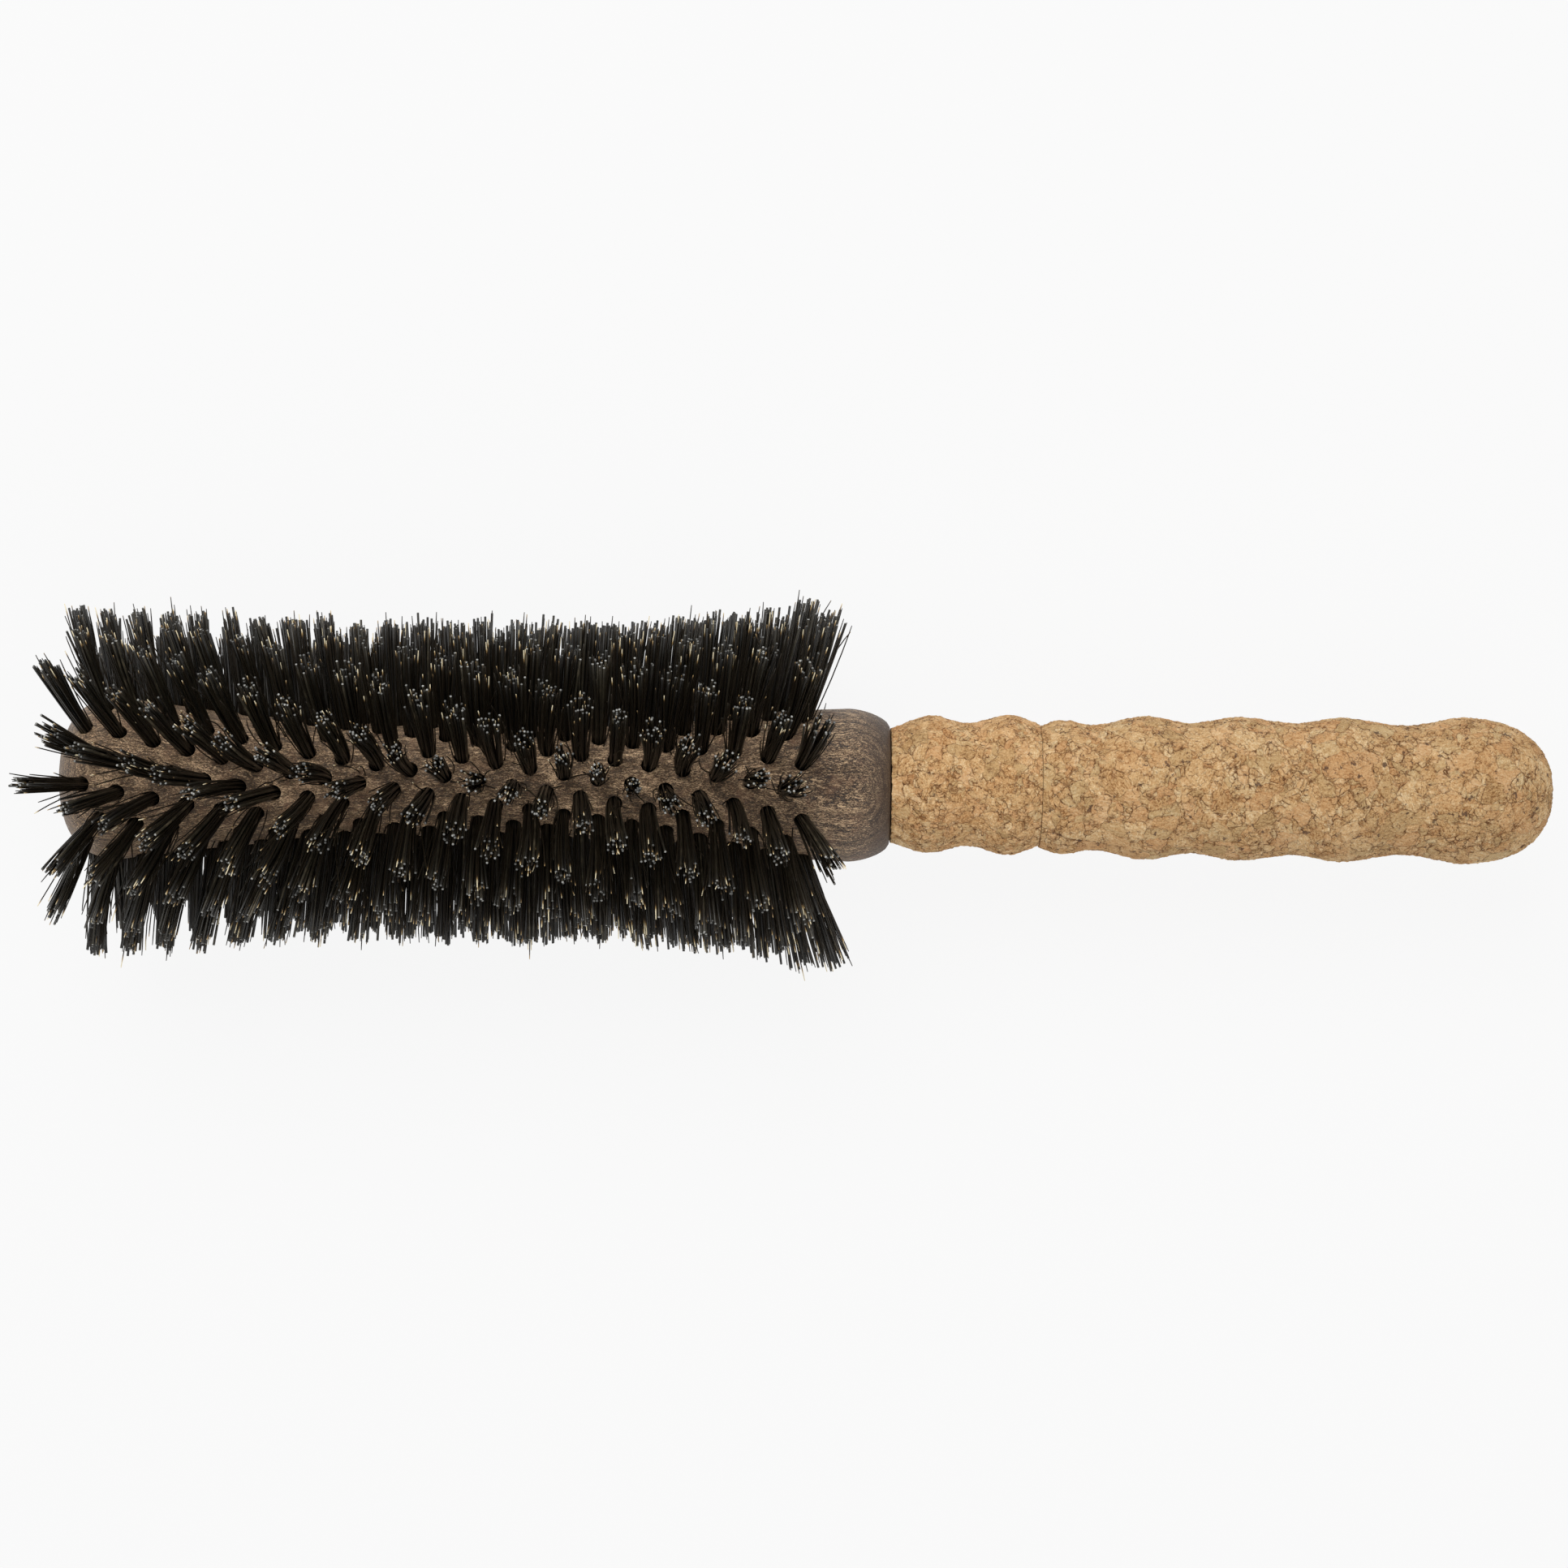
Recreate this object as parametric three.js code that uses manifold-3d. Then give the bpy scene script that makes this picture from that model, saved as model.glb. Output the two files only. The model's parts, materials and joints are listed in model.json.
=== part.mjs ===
// A round barrel brush for blow-drying hair. A turned wooden barrel carries rings of bristle tufts,
// and the cork handle is in two pieces: a short front piece fixed to the barrel, and a long rear
// grip that turns freely on a steel spindle.
//
// Units are millimetres. The brush lies on its bristles, along X, with the tip towards -X and +Z up.
// A station is a distance along the axis, counted from the blunt wooden tip towards the handle.
import * as THREE from "three";
import { mergeVertices } from "three/addons/utils/BufferGeometryUtils.js";
import Module from "manifold-3d";

const wasm = await Module();
wasm.setup();

// ---------------------------------------------------------------- driving dimensions

// Clearances
const seatGap = 0.3; // between two pieces that are glued or pressed together
const runningGap = 0.1; // between the spindle and the bushes that turn on it
const faceGap = 0.2; // between two faces that slide on each other

// Wooden barrel
const domeLength = 11.6; // from the blunt tip to the widest place behind it
const domeRadius = 15.5;
const domeSquareness = 2.7; // exponent of the tip's superellipse; 2 would be a plain ellipse
const collarLength = 16.8; // from the last ring of tufts to the face that meets the cork
const collarCrestRadius = 14.8;
const collarCrestLength = 9.1; // from the last ring of tufts to the collar's widest place
const collarFaceRadius = 11.4;
const collarSquareness = 1.6;
const skinInnerRadius = 8.3; // the tufted skin of the barrel, split off the core, starts here
// The waist of the barrel: [share of the tufted length, radius]
const barrelWaist = [
  [0.04, 15.5],
  [0.17, 13.3],
  [0.3, 11.5],
  [0.44, 11.0],
  [0.75, 11.0],
  [0.83, 11.7],
  [0.9, 13.2],
  [1.0, 14.4],
];

// Tufts
const ringCount = 43;
const ringPitch = 3.25;
const firstRingStation = 6.4;
const tuftsPerRing = 8;
const firstTuftAngle = 4.6; // degrees from straight up
const twistPerRing = 2.71; // degrees; the staggered rows wind slowly about the axis
const leanAtTip = -15; // degrees from square to the axis; the tufts fan out towards both ends
const leanAtCollar = 8;
const uprightRing = 22; // the ring whose tufts stand square to the axis
const tuftBaseWidth = 2.2;
const tuftTipWidth = 4.2;
const waistTrimRadius = 30.3; // the tufts are trimmed to an hourglass
const flareTrimRadius = 34.4;
const trimCurve = 2.6; // exponent of the hourglass
const flareRings = 5; // rings at each end that share the full flare
const flatCutDepth = 0.5; // the tufts that the brush lies on are cut flat by this much
const bandCount = 4; // the tufted skin is modelled as this many bands

// Cork
const frontCorkLength = 28.3;
const frontCorkFaceRadius = 11.0;
// Lobes of the front cork: [distance from the collar's face, radius]
const frontLobes = [
  [7.6, 13.2],
  [14.8, 11.8],
  [23.2, 13.5],
];
const seamRadius = 11.8; // bottom of the crease between the two cork pieces
// Lobes of the grip: [distance from the seam, radius]
const gripLobes = [
  [3.9, 12.9],
  [9.6, 12.0],
  [20.3, 13.8],
  [28.6, 12.5],
  [38.0, 13.8],
  [49.3, 12.7],
  [57.9, 13.85],
  [69.8, 12.4],
  [80.6, 14.05],
];
const gripEndLength = 17.9; // from the last lobe to the rounded end
const gripEndSquareness = 2.4;

// Swivel inside the handle
const spindleRadius = 2.5;
const spindleAnchorLength = 24; // how deep the spindle sits in the collar
const spindleFlangeRadius = 5.2;
const spindleFlangeLength = 1.2;
const anchorGrooveCount = 3; // glue grooves on the buried end of the spindle
const anchorGroovePitch = 5;
const anchorGrooveDepth = 0.4;
const anchorGrooveLength = 1.6;
const tenonWall = 3.5; // wood around the spindle inside the front cork
const thrustWasherThickness = 0.4;
const bushWall = 1.4;
const bushLength = 10;
const bushFlangeThickness = 1.1;
const bushFlangeOverhang = 2.6; // how far the flange stands out past the bush
const sleeveWall = 1.2;
const bearingSpan = 60; // from the front bush's flange to the far end of the rear bush
const retainingWasherThickness = 0.6;
const retainingRingThickness = 0.8;
const retainingRingWidth = 1.5;
const retainingRingOpening = 70; // degrees
const ringGrooveDepth = 0.5;
const spindleTailLength = 2.2; // past the retaining ring
const sleeveTailLength = 3; // past the spindle

// How finely round pieces are faceted
const corkFacets = 36;
const woodFacets = 36;
const steelFacets = 18;

// ---------------------------------------------------------------- stations and radii that follow

const tuftedLength = (ringCount - 1) * ringPitch;
const lastRingStation = firstRingStation + tuftedLength;
const collarCrestStation = lastRingStation + collarCrestLength;
const woodEndStation = lastRingStation + collarLength;
const frontCorkStart = woodEndStation + seatGap;
const frontCorkEnd = frontCorkStart + frontCorkLength;
const washerStart = frontCorkEnd + faceGap;
const gripStart = washerStart + thrustWasherThickness + faceGap;
const lastLobeStation = gripStart + gripLobes.at(-1)[0];
const gripEndStation = lastLobeStation + gripEndLength;

const woodBoreRadius = spindleRadius + seatGap;
const tenonRadius = woodBoreRadius + tenonWall;
const frontCorkBoreRadius = tenonRadius + seatGap;
const flangeStart = frontCorkEnd - spindleFlangeLength;
const tenonEnd = flangeStart - seatGap;
const spindleStart = woodEndStation - spindleAnchorLength;
const coreRadius = skinInnerRadius - seatGap;

const journalRadius = spindleRadius + runningGap;
const bushRadius = journalRadius + bushWall;
const bushFlangeRadius = bushRadius + bushFlangeOverhang;
const sleeveInnerRadius = bushRadius + seatGap;
const sleeveRadius = sleeveInnerRadius + sleeveWall;
const gripBoreRadius = sleeveRadius + seatGap;
const gripRecessRadius = bushFlangeRadius + seatGap;
const bushFlangeStart = gripStart + faceGap;
const bushFlangeEnd = bushFlangeStart + bushFlangeThickness;
const sleeveStart = bushFlangeEnd + seatGap;
const rearBushEnd = bushFlangeEnd + bearingSpan;
const rearBushStart = rearBushEnd - bushLength;
const retainingWasherStart = rearBushEnd + faceGap;
const retainingRingStart = retainingWasherStart + retainingWasherThickness + faceGap;
const ringGrooveStart = retainingRingStart - faceGap / 2;
const ringGrooveEnd = retainingRingStart + retainingRingThickness + faceGap / 2;
const ringGrooveRadius = spindleRadius - ringGrooveDepth;
const ringInnerRadius = ringGrooveRadius + runningGap;
const ringRadius = ringInnerRadius + retainingRingWidth;
const spindleEnd = ringGrooveEnd + spindleTailLength;
const sleeveEnd = spindleEnd + sleeveTailLength;
const gripBoreEnd = sleeveEnd + seatGap;

const axisHeight = flareTrimRadius - flatCutDepth; // of the brush's axis over the surface it lies on

// ---------------------------------------------------------------- curves

// 1 at share 0, falling to 0 at share 1 along a quarter of a superellipse.
function superellipse(share, squareness) {
  const rest = 1 - Math.pow(THREE.MathUtils.clamp(share, 0, 1), squareness);
  return Math.pow(rest, 1 / squareness);
}

// A smooth radius through [station, radius] points.
function smoothRadius(points) {
  const stations = points.map((point) => point[0]);
  const radii = points.map((point) => point[1]);
  const curve = new THREE.CubicInterpolant(stations, radii, 1);
  return (station) => curve.evaluate(station)[0];
}

const waistRadius = smoothRadius([
  ...barrelWaist.map(([share, radius]) => [firstRingStation + share * tuftedLength, radius]),
  [collarCrestStation, collarCrestRadius],
]);

function barrelRadius(station) {
  if (station < domeLength) {
    return domeRadius * superellipse(1 - station / domeLength, domeSquareness);
  }
  if (station > collarCrestStation) {
    const share = (station - collarCrestStation) / (woodEndStation - collarCrestStation);
    const drop = collarCrestRadius - collarFaceRadius;
    return collarFaceRadius + drop * superellipse(share, collarSquareness);
  }
  return waistRadius(station);
}

const frontCorkRadius = smoothRadius([
  [frontCorkStart, frontCorkFaceRadius],
  ...frontLobes.map(([distance, radius]) => [frontCorkStart + distance, radius]),
  [frontCorkEnd, seamRadius],
]);

const lobedGripRadius = smoothRadius([
  [gripStart, seamRadius],
  ...gripLobes.map(([distance, radius]) => [gripStart + distance, radius]),
]);

function gripRadius(station) {
  if (station < lastLobeStation) return lobedGripRadius(station);
  const share = (station - lastLobeStation) / gripEndLength;
  return gripLobes.at(-1)[1] * superellipse(share, gripEndSquareness);
}

// How far the tufts of a ring reach from the axis, and how they lean.
function trimRadius(ring) {
  const middleRing = (ringCount - 1) / 2;
  const share = Math.min(Math.abs(ring - middleRing) / (middleRing - flareRings), 1);
  return THREE.MathUtils.lerp(waistTrimRadius, flareTrimRadius, Math.pow(share, trimCurve));
}

function leanOf(ring) {
  if (ring < uprightRing) return leanAtTip * (1 - ring / uprightRing);
  return (leanAtCollar * (ring - uprightRing)) / (ringCount - 1 - uprightRing);
}

// ---------------------------------------------------------------- solids

// An outline from one station to another, as points for a lathe.
function outline(radiusAt, from, to, steps, easing = (share) => share) {
  return Array.from({ length: steps + 1 }, (_, step) => {
    const station = THREE.MathUtils.lerp(from, to, easing(step / steps));
    return new THREE.Vector2(radiusAt(station), station);
  });
}

// Steps crowd together at the start or at the end of a rounded stretch.
const slowStart = (share) => 1 - Math.cos((share * Math.PI) / 2);
const slowEnd = (share) => Math.sin((share * Math.PI) / 2);

const point = (radius, station) => new THREE.Vector2(radius, station);

// A solid of revolution about X. Its outline runs towards the handle on the outside and back inside,
// so that its faces point out.
function turned(points, facets) {
  return new THREE.LatheGeometry(points, facets).rotateZ(-Math.PI / 2);
}

// A tube or ring with a straight bore.
function ring(innerRadius, outerRadius, from, to, facets) {
  const corners = [
    point(innerRadius, from),
    point(outerRadius, from),
    point(outerRadius, to),
    point(innerRadius, to),
    point(innerRadius, from),
  ];
  return turned(corners, facets);
}

function solidOf(geometry) {
  const bare = new THREE.BufferGeometry();
  bare.setAttribute("position", geometry.getAttribute("position"));
  bare.setIndex(geometry.index);
  const merged = mergeVertices(bare, 1e-4);
  return new wasm.Manifold(
    new wasm.Mesh({
      numProp: 3,
      vertProperties: merged.attributes.position.array,
      triVerts: new Uint32Array(merged.index.array),
    }),
  );
}

function geometryOf(solid) {
  const mesh = solid.getMesh();
  const geometry = new THREE.BufferGeometry();
  geometry.setAttribute("position", new THREE.BufferAttribute(mesh.vertProperties, 3));
  geometry.setIndex(new THREE.BufferAttribute(mesh.triVerts, 1));
  geometry.computeVertexNormals();
  return geometry;
}

function part(name, geometry, color, roughness, metalness = 0) {
  const material = new THREE.MeshStandardMaterial({ color, roughness, metalness });
  const mesh = new THREE.Mesh(geometry, material);
  mesh.name = name;
  return mesh;
}

// ---------------------------------------------------------------- tufted bands of the barrel

// A point of the brush at a station, a radius and an angle from straight up, and the same point
// moved sideways along the ring.
function pointOnRing(station, radius, angle, sideways = 0) {
  const sin = Math.sin(angle);
  const cos = Math.cos(angle);
  return [station, -radius * sin - sideways * cos, radius * cos - sideways * sin];
}

// Collects the shared corners and the triangles of one closed surface.
class Surface {
  corners = [];
  triangles = [];

  corner(station, radius, angle, sideways) {
    this.corners.push(...pointOnRing(station, radius, angle, sideways));
    return { index: this.corners.length / 3 - 1, angle };
  }

  triangle(a, b, c) {
    this.triangles.push(a.index, b.index, c.index);
  }

  quad(a, b, c, d) {
    this.triangle(a, b, c);
    this.triangle(a, c, d);
  }

  // Joins two loops of corners that both run once round the axis, whatever their angles.
  stitch(front, rear) {
    let i = 0;
    let j = 0;
    while (i < front.length || j < rear.length) {
      const a = front[i % front.length];
      const b = rear[j % rear.length];
      const nextA = front[(i + 1) % front.length];
      const nextB = rear[(j + 1) % rear.length];
      const angleA = nextA.angle + (i + 1 >= front.length ? 2 * Math.PI : 0);
      const angleB = nextB.angle + (j + 1 >= rear.length ? 2 * Math.PI : 0);
      if (j >= rear.length || (i < front.length && angleA <= angleB)) {
        this.triangle(a, nextA, b);
        i += 1;
      } else {
        this.triangle(a, nextB, b);
        j += 1;
      }
    }
  }

  geometry() {
    const geometry = new THREE.BufferGeometry();
    geometry.setAttribute("position", new THREE.Float32BufferAttribute(this.corners, 3));
    geometry.setIndex(this.triangles);
    return geometry;
  }
}

// The angles of a ring's corners: both sides of each tuft's foot, and halfway to the next tuft.
function ringAngles(ringIndex) {
  const station = firstRingStation + ringIndex * ringPitch;
  const halfFoot = tuftBaseWidth / 2 / barrelRadius(station);
  const spacing = (2 * Math.PI) / tuftsPerRing;
  const stagger = (ringIndex % 2) * (spacing / 2);
  const start = THREE.MathUtils.degToRad(firstTuftAngle + ringIndex * twistPerRing) + stagger;
  return Array.from({ length: tuftsPerRing }, (_, tuft) => {
    const centre = start + tuft * spacing;
    return [
      { angle: centre - halfFoot, tuft: centre },
      { angle: centre + halfFoot },
      { angle: centre + spacing / 2 },
    ];
  }).flat();
}

// The same angles within one turn and in rising order, which stitch needs.
function inOneTurn(angles) {
  const turned = angles.map((corner) => ({
    ...corner,
    angle: THREE.MathUtils.euclideanModulo(corner.angle, 2 * Math.PI),
  }));
  return turned.sort((a, b) => a.angle - b.angle);
}

// One band: a slice of the wooden skin with its tufts, each a four-sided flaring strand.
function tuftedBand(firstRing, lastRing, from, to) {
  const surface = new Surface();
  const loopAt = (station, radius, angles) =>
    angles.map(({ angle }) => surface.corner(station, radius, angle));

  const frontAngles = inOneTurn(ringAngles(firstRing));
  const rearAngles = inOneTurn(ringAngles(lastRing));
  const frontBore = loopAt(from, skinInnerRadius, frontAngles);
  const rearBore = loopAt(to, skinInnerRadius, frontAngles);
  let previous = loopAt(from, barrelRadius(from), frontAngles);
  surface.stitch(frontBore, previous);

  for (let ringIndex = firstRing; ringIndex <= lastRing; ringIndex += 1) {
    const angles = inOneTurn(ringAngles(ringIndex));
    const station = firstRingStation + ringIndex * ringPitch;
    const footStart = station - tuftBaseWidth / 2;
    const footEnd = station + tuftBaseWidth / 2;
    const before = loopAt(footStart, barrelRadius(footStart), angles);
    const after = loopAt(footEnd, barrelRadius(footEnd), angles);
    surface.stitch(previous, before);
    angles.forEach((corner, i) => {
      const next = (i + 1) % angles.length;
      const foot = [before[i], before[next], after[next], after[i]];
      if (corner.tuft === undefined) surface.quad(...foot);
      else growTuft(surface, foot, ringIndex, station, corner.tuft);
    });
    previous = after;
  }

  const rearFace = loopAt(to, barrelRadius(to), rearAngles);
  surface.stitch(previous, rearFace);
  surface.stitch(rearFace, rearBore);
  surface.stitch(rearBore, frontBore);
  return surface.geometry();
}

// The four sides and the trimmed end of a tuft, standing on its foot.
function growTuft(surface, foot, ringIndex, station, angle) {
  const reach = trimRadius(ringIndex);
  const lean = THREE.MathUtils.degToRad(leanOf(ringIndex));
  const tipStation = station + (reach - barrelRadius(station)) * Math.tan(lean);
  const half = tuftTipWidth / 2;
  const tip = [
    surface.corner(tipStation - half, reach, angle, -half),
    surface.corner(tipStation - half, reach, angle, half),
    surface.corner(tipStation + half, reach, angle, half),
    surface.corner(tipStation + half, reach, angle, -half),
  ];
  foot.forEach((corner, i) => {
    const next = (i + 1) % foot.length;
    surface.quad(corner, foot[next], tip[next], tip[i]);
  });
  surface.quad(...tip);
}

// Everything below the surface that the brush lies on.
const floorCutSize = 4 * woodEndStation;
const belowFloor = solidOf(
  new THREE.BoxGeometry(floorCutSize, floorCutSize, floorCutSize).translate(
    0,
    0,
    -axisHeight - floorCutSize / 2,
  ),
);

const skinStart = firstRingStation - tuftBaseWidth / 2 - seatGap;
const skinEnd = lastRingStation + tuftBaseWidth / 2 + seatGap;

function bristleBand(band) {
  const ringsPerBand = Math.ceil(ringCount / bandCount);
  const firstRing = band * ringsPerBand;
  const lastRing = Math.min(firstRing + ringsPerBand, ringCount) - 1;
  const halfwayBefore = firstRingStation + (firstRing - 0.5) * ringPitch + seatGap / 2;
  const halfwayAfter = firstRingStation + (lastRing + 0.5) * ringPitch - seatGap / 2;
  const from = band === 0 ? skinStart : halfwayBefore;
  const to = band === bandCount - 1 ? skinEnd : halfwayAfter;
  const whole = solidOf(tuftedBand(firstRing, lastRing, from, to));
  const geometry = geometryOf(whole.subtract(belowFloor));
  return part(`bristle_band_${band + 1}`, geometry, 0x17181a, 0.5);
}

// ---------------------------------------------------------------- barrel

// The barrel is one turned piece of wood: tip, core, collar, and a tenon through the front cork.
function barrelBody() {
  const tipEnd = skinStart - seatGap;
  const collarStart = skinEnd + seatGap;
  const points = [
    ...outline(barrelRadius, 0, tipEnd, 7, slowStart),
    point(coreRadius, tipEnd),
    point(coreRadius, collarStart),
    ...outline(barrelRadius, collarStart, collarCrestStation, 4),
    ...outline(barrelRadius, collarCrestStation, woodEndStation, 7, slowEnd).slice(1),
    point(tenonRadius, woodEndStation),
    point(tenonRadius, tenonEnd),
    point(woodBoreRadius, tenonEnd),
    point(woodBoreRadius, spindleStart - seatGap),
    point(0, spindleStart - seatGap),
  ];
  return part("barrel_body", turned(points, woodFacets), 0x706256, 0.5);
}

// ---------------------------------------------------------------- cork

function frontCork() {
  const points = [
    point(frontCorkBoreRadius, frontCorkStart),
    ...outline(frontCorkRadius, frontCorkStart, frontCorkEnd, 12),
    point(frontCorkBoreRadius, frontCorkEnd),
    point(frontCorkBoreRadius, frontCorkStart),
  ];
  return part("front_cork", turned(points, corkFacets), 0xcda578, 0.9);
}

function corkGrip() {
  const points = [
    point(gripBoreRadius, sleeveStart - seatGap / 2),
    point(gripRecessRadius, sleeveStart - seatGap / 2),
    point(gripRecessRadius, gripStart),
    ...outline(gripRadius, gripStart, lastLobeStation, 28),
    ...outline(gripRadius, lastLobeStation, gripEndStation, 8, slowEnd).slice(1, -1),
    point(0, gripEndStation),
  ];
  const bore = [point(0, gripBoreEnd), point(gripBoreRadius, gripBoreEnd)];
  return part("cork_grip", turned([...bore, ...points], corkFacets), 0xc9a177, 0.9);
}

// ---------------------------------------------------------------- swivel

function spindle() {
  const grooveRadius = spindleRadius - anchorGrooveDepth;
  const grooves = Array.from({ length: anchorGrooveCount }, (_, i) => {
    const start = spindleStart + (i + 0.5) * anchorGroovePitch;
    const end = start + anchorGrooveLength;
    return [
      point(spindleRadius, start),
      point(grooveRadius, start + anchorGrooveDepth),
      point(grooveRadius, end - anchorGrooveDepth),
      point(spindleRadius, end),
    ];
  });
  const points = [
    point(0, spindleStart),
    point(spindleRadius, spindleStart),
    ...grooves.flat(),
    point(spindleRadius, flangeStart),
    point(spindleFlangeRadius, flangeStart),
    point(spindleFlangeRadius, frontCorkEnd),
    point(spindleRadius, frontCorkEnd),
    point(spindleRadius, ringGrooveStart),
    point(ringGrooveRadius, ringGrooveStart),
    point(ringGrooveRadius, ringGrooveEnd),
    point(spindleRadius, ringGrooveEnd),
    point(spindleRadius, spindleEnd),
    point(0, spindleEnd),
  ];
  return part("spindle", turned(points, steelFacets), 0xb8babd, 0.35, 1);
}

function thrustWasher() {
  const end = washerStart + thrustWasherThickness;
  const geometry = ring(journalRadius, seamRadius, washerStart, end, corkFacets);
  return part("thrust_washer", geometry, 0x2b2420, 0.8);
}

function frontBush() {
  const points = [
    point(journalRadius, bushFlangeStart),
    point(bushFlangeRadius, bushFlangeStart),
    point(bushFlangeRadius, bushFlangeEnd),
    point(bushRadius, bushFlangeEnd),
    point(bushRadius, bushFlangeEnd + bushLength),
    point(journalRadius, bushFlangeEnd + bushLength),
    point(journalRadius, bushFlangeStart),
  ];
  return part("front_bush", turned(points, steelFacets), 0xe4e1d8, 0.5);
}

function rearBush() {
  const geometry = ring(journalRadius, bushRadius, rearBushStart, rearBushEnd, steelFacets);
  return part("rear_bush", geometry, 0xe4e1d8, 0.5);
}

function bearingSleeve() {
  const geometry = ring(sleeveInnerRadius, sleeveRadius, sleeveStart, sleeveEnd, steelFacets);
  return part("bearing_sleeve", geometry, 0xc4c6c8, 0.4, 1);
}

function retainingWasher() {
  const end = retainingWasherStart + retainingWasherThickness;
  const geometry = ring(journalRadius, bushRadius, retainingWasherStart, end, steelFacets);
  return part("retaining_washer", geometry, 0xb8babd, 0.35, 1);
}

// A C-shaped ring that snaps into the groove near the spindle's end.
function retainingRing() {
  const half = THREE.MathUtils.degToRad(retainingRingOpening / 2);
  const shape = new THREE.Shape();
  shape.absarc(0, 0, ringRadius, half, 2 * Math.PI - half, false);
  shape.absarc(0, 0, ringInnerRadius, 2 * Math.PI - half, half, true);
  const geometry = new THREE.ExtrudeGeometry(shape, {
    depth: retainingRingThickness,
    bevelEnabled: false,
    curveSegments: steelFacets,
  });
  geometry.rotateY(Math.PI / 2).translate(retainingRingStart, 0, 0);
  return part("retaining_ring", geometry, 0x8f9296, 0.4, 1);
}

// ---------------------------------------------------------------- assembly

// Everything that stays with the barrel.
const barrelSide = new THREE.Group();
barrelSide.add(barrelBody());
for (let band = 0; band < bandCount; band += 1) barrelSide.add(bristleBand(band));
barrelSide.add(frontCork(), thrustWasher(), spindle(), retainingWasher(), retainingRing());

// Everything that turns with the hand, about the brush's axis.
const gripSide = new THREE.Group();
gripSide.add(corkGrip(), bearingSleeve(), frontBush(), rearBush());

// The origin is under the middle of the brush, on the surface that it lies on.
const brush = new THREE.Group();
brush.add(barrelSide, gripSide);
const extent = new THREE.Box3().setFromObject(brush);
const middle = extent.getCenter(new THREE.Vector3());
brush.position.set(-middle.x, 0, axisHeight);

const group = new THREE.Group();
group.add(brush);
export default group;
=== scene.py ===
# %% [markdown]
# # A round brush for blow-drying
# The real brush is a turned wooden barrel with rings of bristle tufts, a short piece of cork
# against its collar, and a long cork grip that turns on a steel spindle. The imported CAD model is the
# frame: it says where every piece is and what moves. This script dresses that frame. Everything
# here is in metres, and the brush lies on its bristles along X, with its tip towards -X.

# %% Load the frame
import json
import math

import bmesh
import bpy
import numpy as np
from mathutils import Matrix, Vector


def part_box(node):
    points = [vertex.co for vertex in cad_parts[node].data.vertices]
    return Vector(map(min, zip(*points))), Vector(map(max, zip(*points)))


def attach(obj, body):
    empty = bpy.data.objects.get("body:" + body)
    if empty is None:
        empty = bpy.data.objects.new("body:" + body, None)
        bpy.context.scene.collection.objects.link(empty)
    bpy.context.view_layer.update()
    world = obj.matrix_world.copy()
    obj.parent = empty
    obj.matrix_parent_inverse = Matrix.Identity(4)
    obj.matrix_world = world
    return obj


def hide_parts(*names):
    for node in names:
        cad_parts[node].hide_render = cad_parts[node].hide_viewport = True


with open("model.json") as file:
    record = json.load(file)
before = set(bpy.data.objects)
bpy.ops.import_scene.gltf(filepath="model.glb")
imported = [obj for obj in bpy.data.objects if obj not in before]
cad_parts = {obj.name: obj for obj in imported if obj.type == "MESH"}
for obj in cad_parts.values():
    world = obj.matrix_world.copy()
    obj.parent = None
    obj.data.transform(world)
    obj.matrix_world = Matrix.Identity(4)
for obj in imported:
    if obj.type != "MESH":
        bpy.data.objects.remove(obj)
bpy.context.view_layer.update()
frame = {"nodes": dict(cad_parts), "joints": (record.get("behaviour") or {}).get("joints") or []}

MM = 0.001
swivel = Vector(frame["joints"][0]["pos_m"])
axis_height = swivel.z
wood_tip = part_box("barrel_body")[0].x
print(f"axis {axis_height / MM:.1f} mm over the table")
print(f"seam {(swivel.x - wood_tip) / MM:.1f} mm from the wooden tip")

# %% [markdown]
# ## Camera
# The photograph looks straight down on the brush. A camera far away would show no tufts leaning
# outwards, so its distance was worked out from how far the facing tufts spread from the middle.
# The brush fills most of the frame's width and lies very slightly turned in it.

# %% Camera
PHOTO_WIDTH = 1932
PHOTO_SCALE = 0.157 * MM  # one pixel, at the height of the brush's axis
CAMERA_DISTANCE = 700 * MM  # from the axis
CAMERA_STATION = 139.4 * MM  # from the wooden tip
CAMERA_OFFSET = 0.1 * MM  # beside the axis, towards the far side
CAMERA_TURN = 0.536  # degrees
SENSOR_WIDTH = 36  # millimetres
NEAREST_SEEN = 0.01

lens = bpy.data.cameras.new("camera")
lens.sensor_width = SENSOR_WIDTH
lens.lens = SENSOR_WIDTH * CAMERA_DISTANCE / (PHOTO_WIDTH * PHOTO_SCALE)
lens.clip_start = NEAREST_SEEN
camera = bpy.data.objects.new("camera", lens)
camera.location = (wood_tip + CAMERA_STATION, CAMERA_OFFSET, axis_height + CAMERA_DISTANCE)
camera.rotation_euler = (0, 0, math.radians(CAMERA_TURN))
bpy.context.scene.collection.objects.link(camera)
bpy.context.scene.camera = camera
print(f"lens {lens.lens:.1f} mm")

# %% [markdown]
# ## Helpers for materials
# Materials are trees of nodes. The same small helpers build them all, so that each finish below
# reads as a list of what it is made of. Colours are written as on screen, from 0 to 255, and turned
# into the linear values that the shader wants.


# %% Node helpers
def node(tree, kind, inputs=None, **settings):
    """Adds a node. An input is a value, or another node's output to link."""
    made = tree.nodes.new(kind)
    for name, value in settings.items():
        setattr(made, name, value)
    for name, value in (inputs or {}).items():
        if isinstance(value, bpy.types.NodeSocket):
            tree.links.new(value, made.inputs[name])
        else:
            made.inputs[name].default_value = value
    return made


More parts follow.
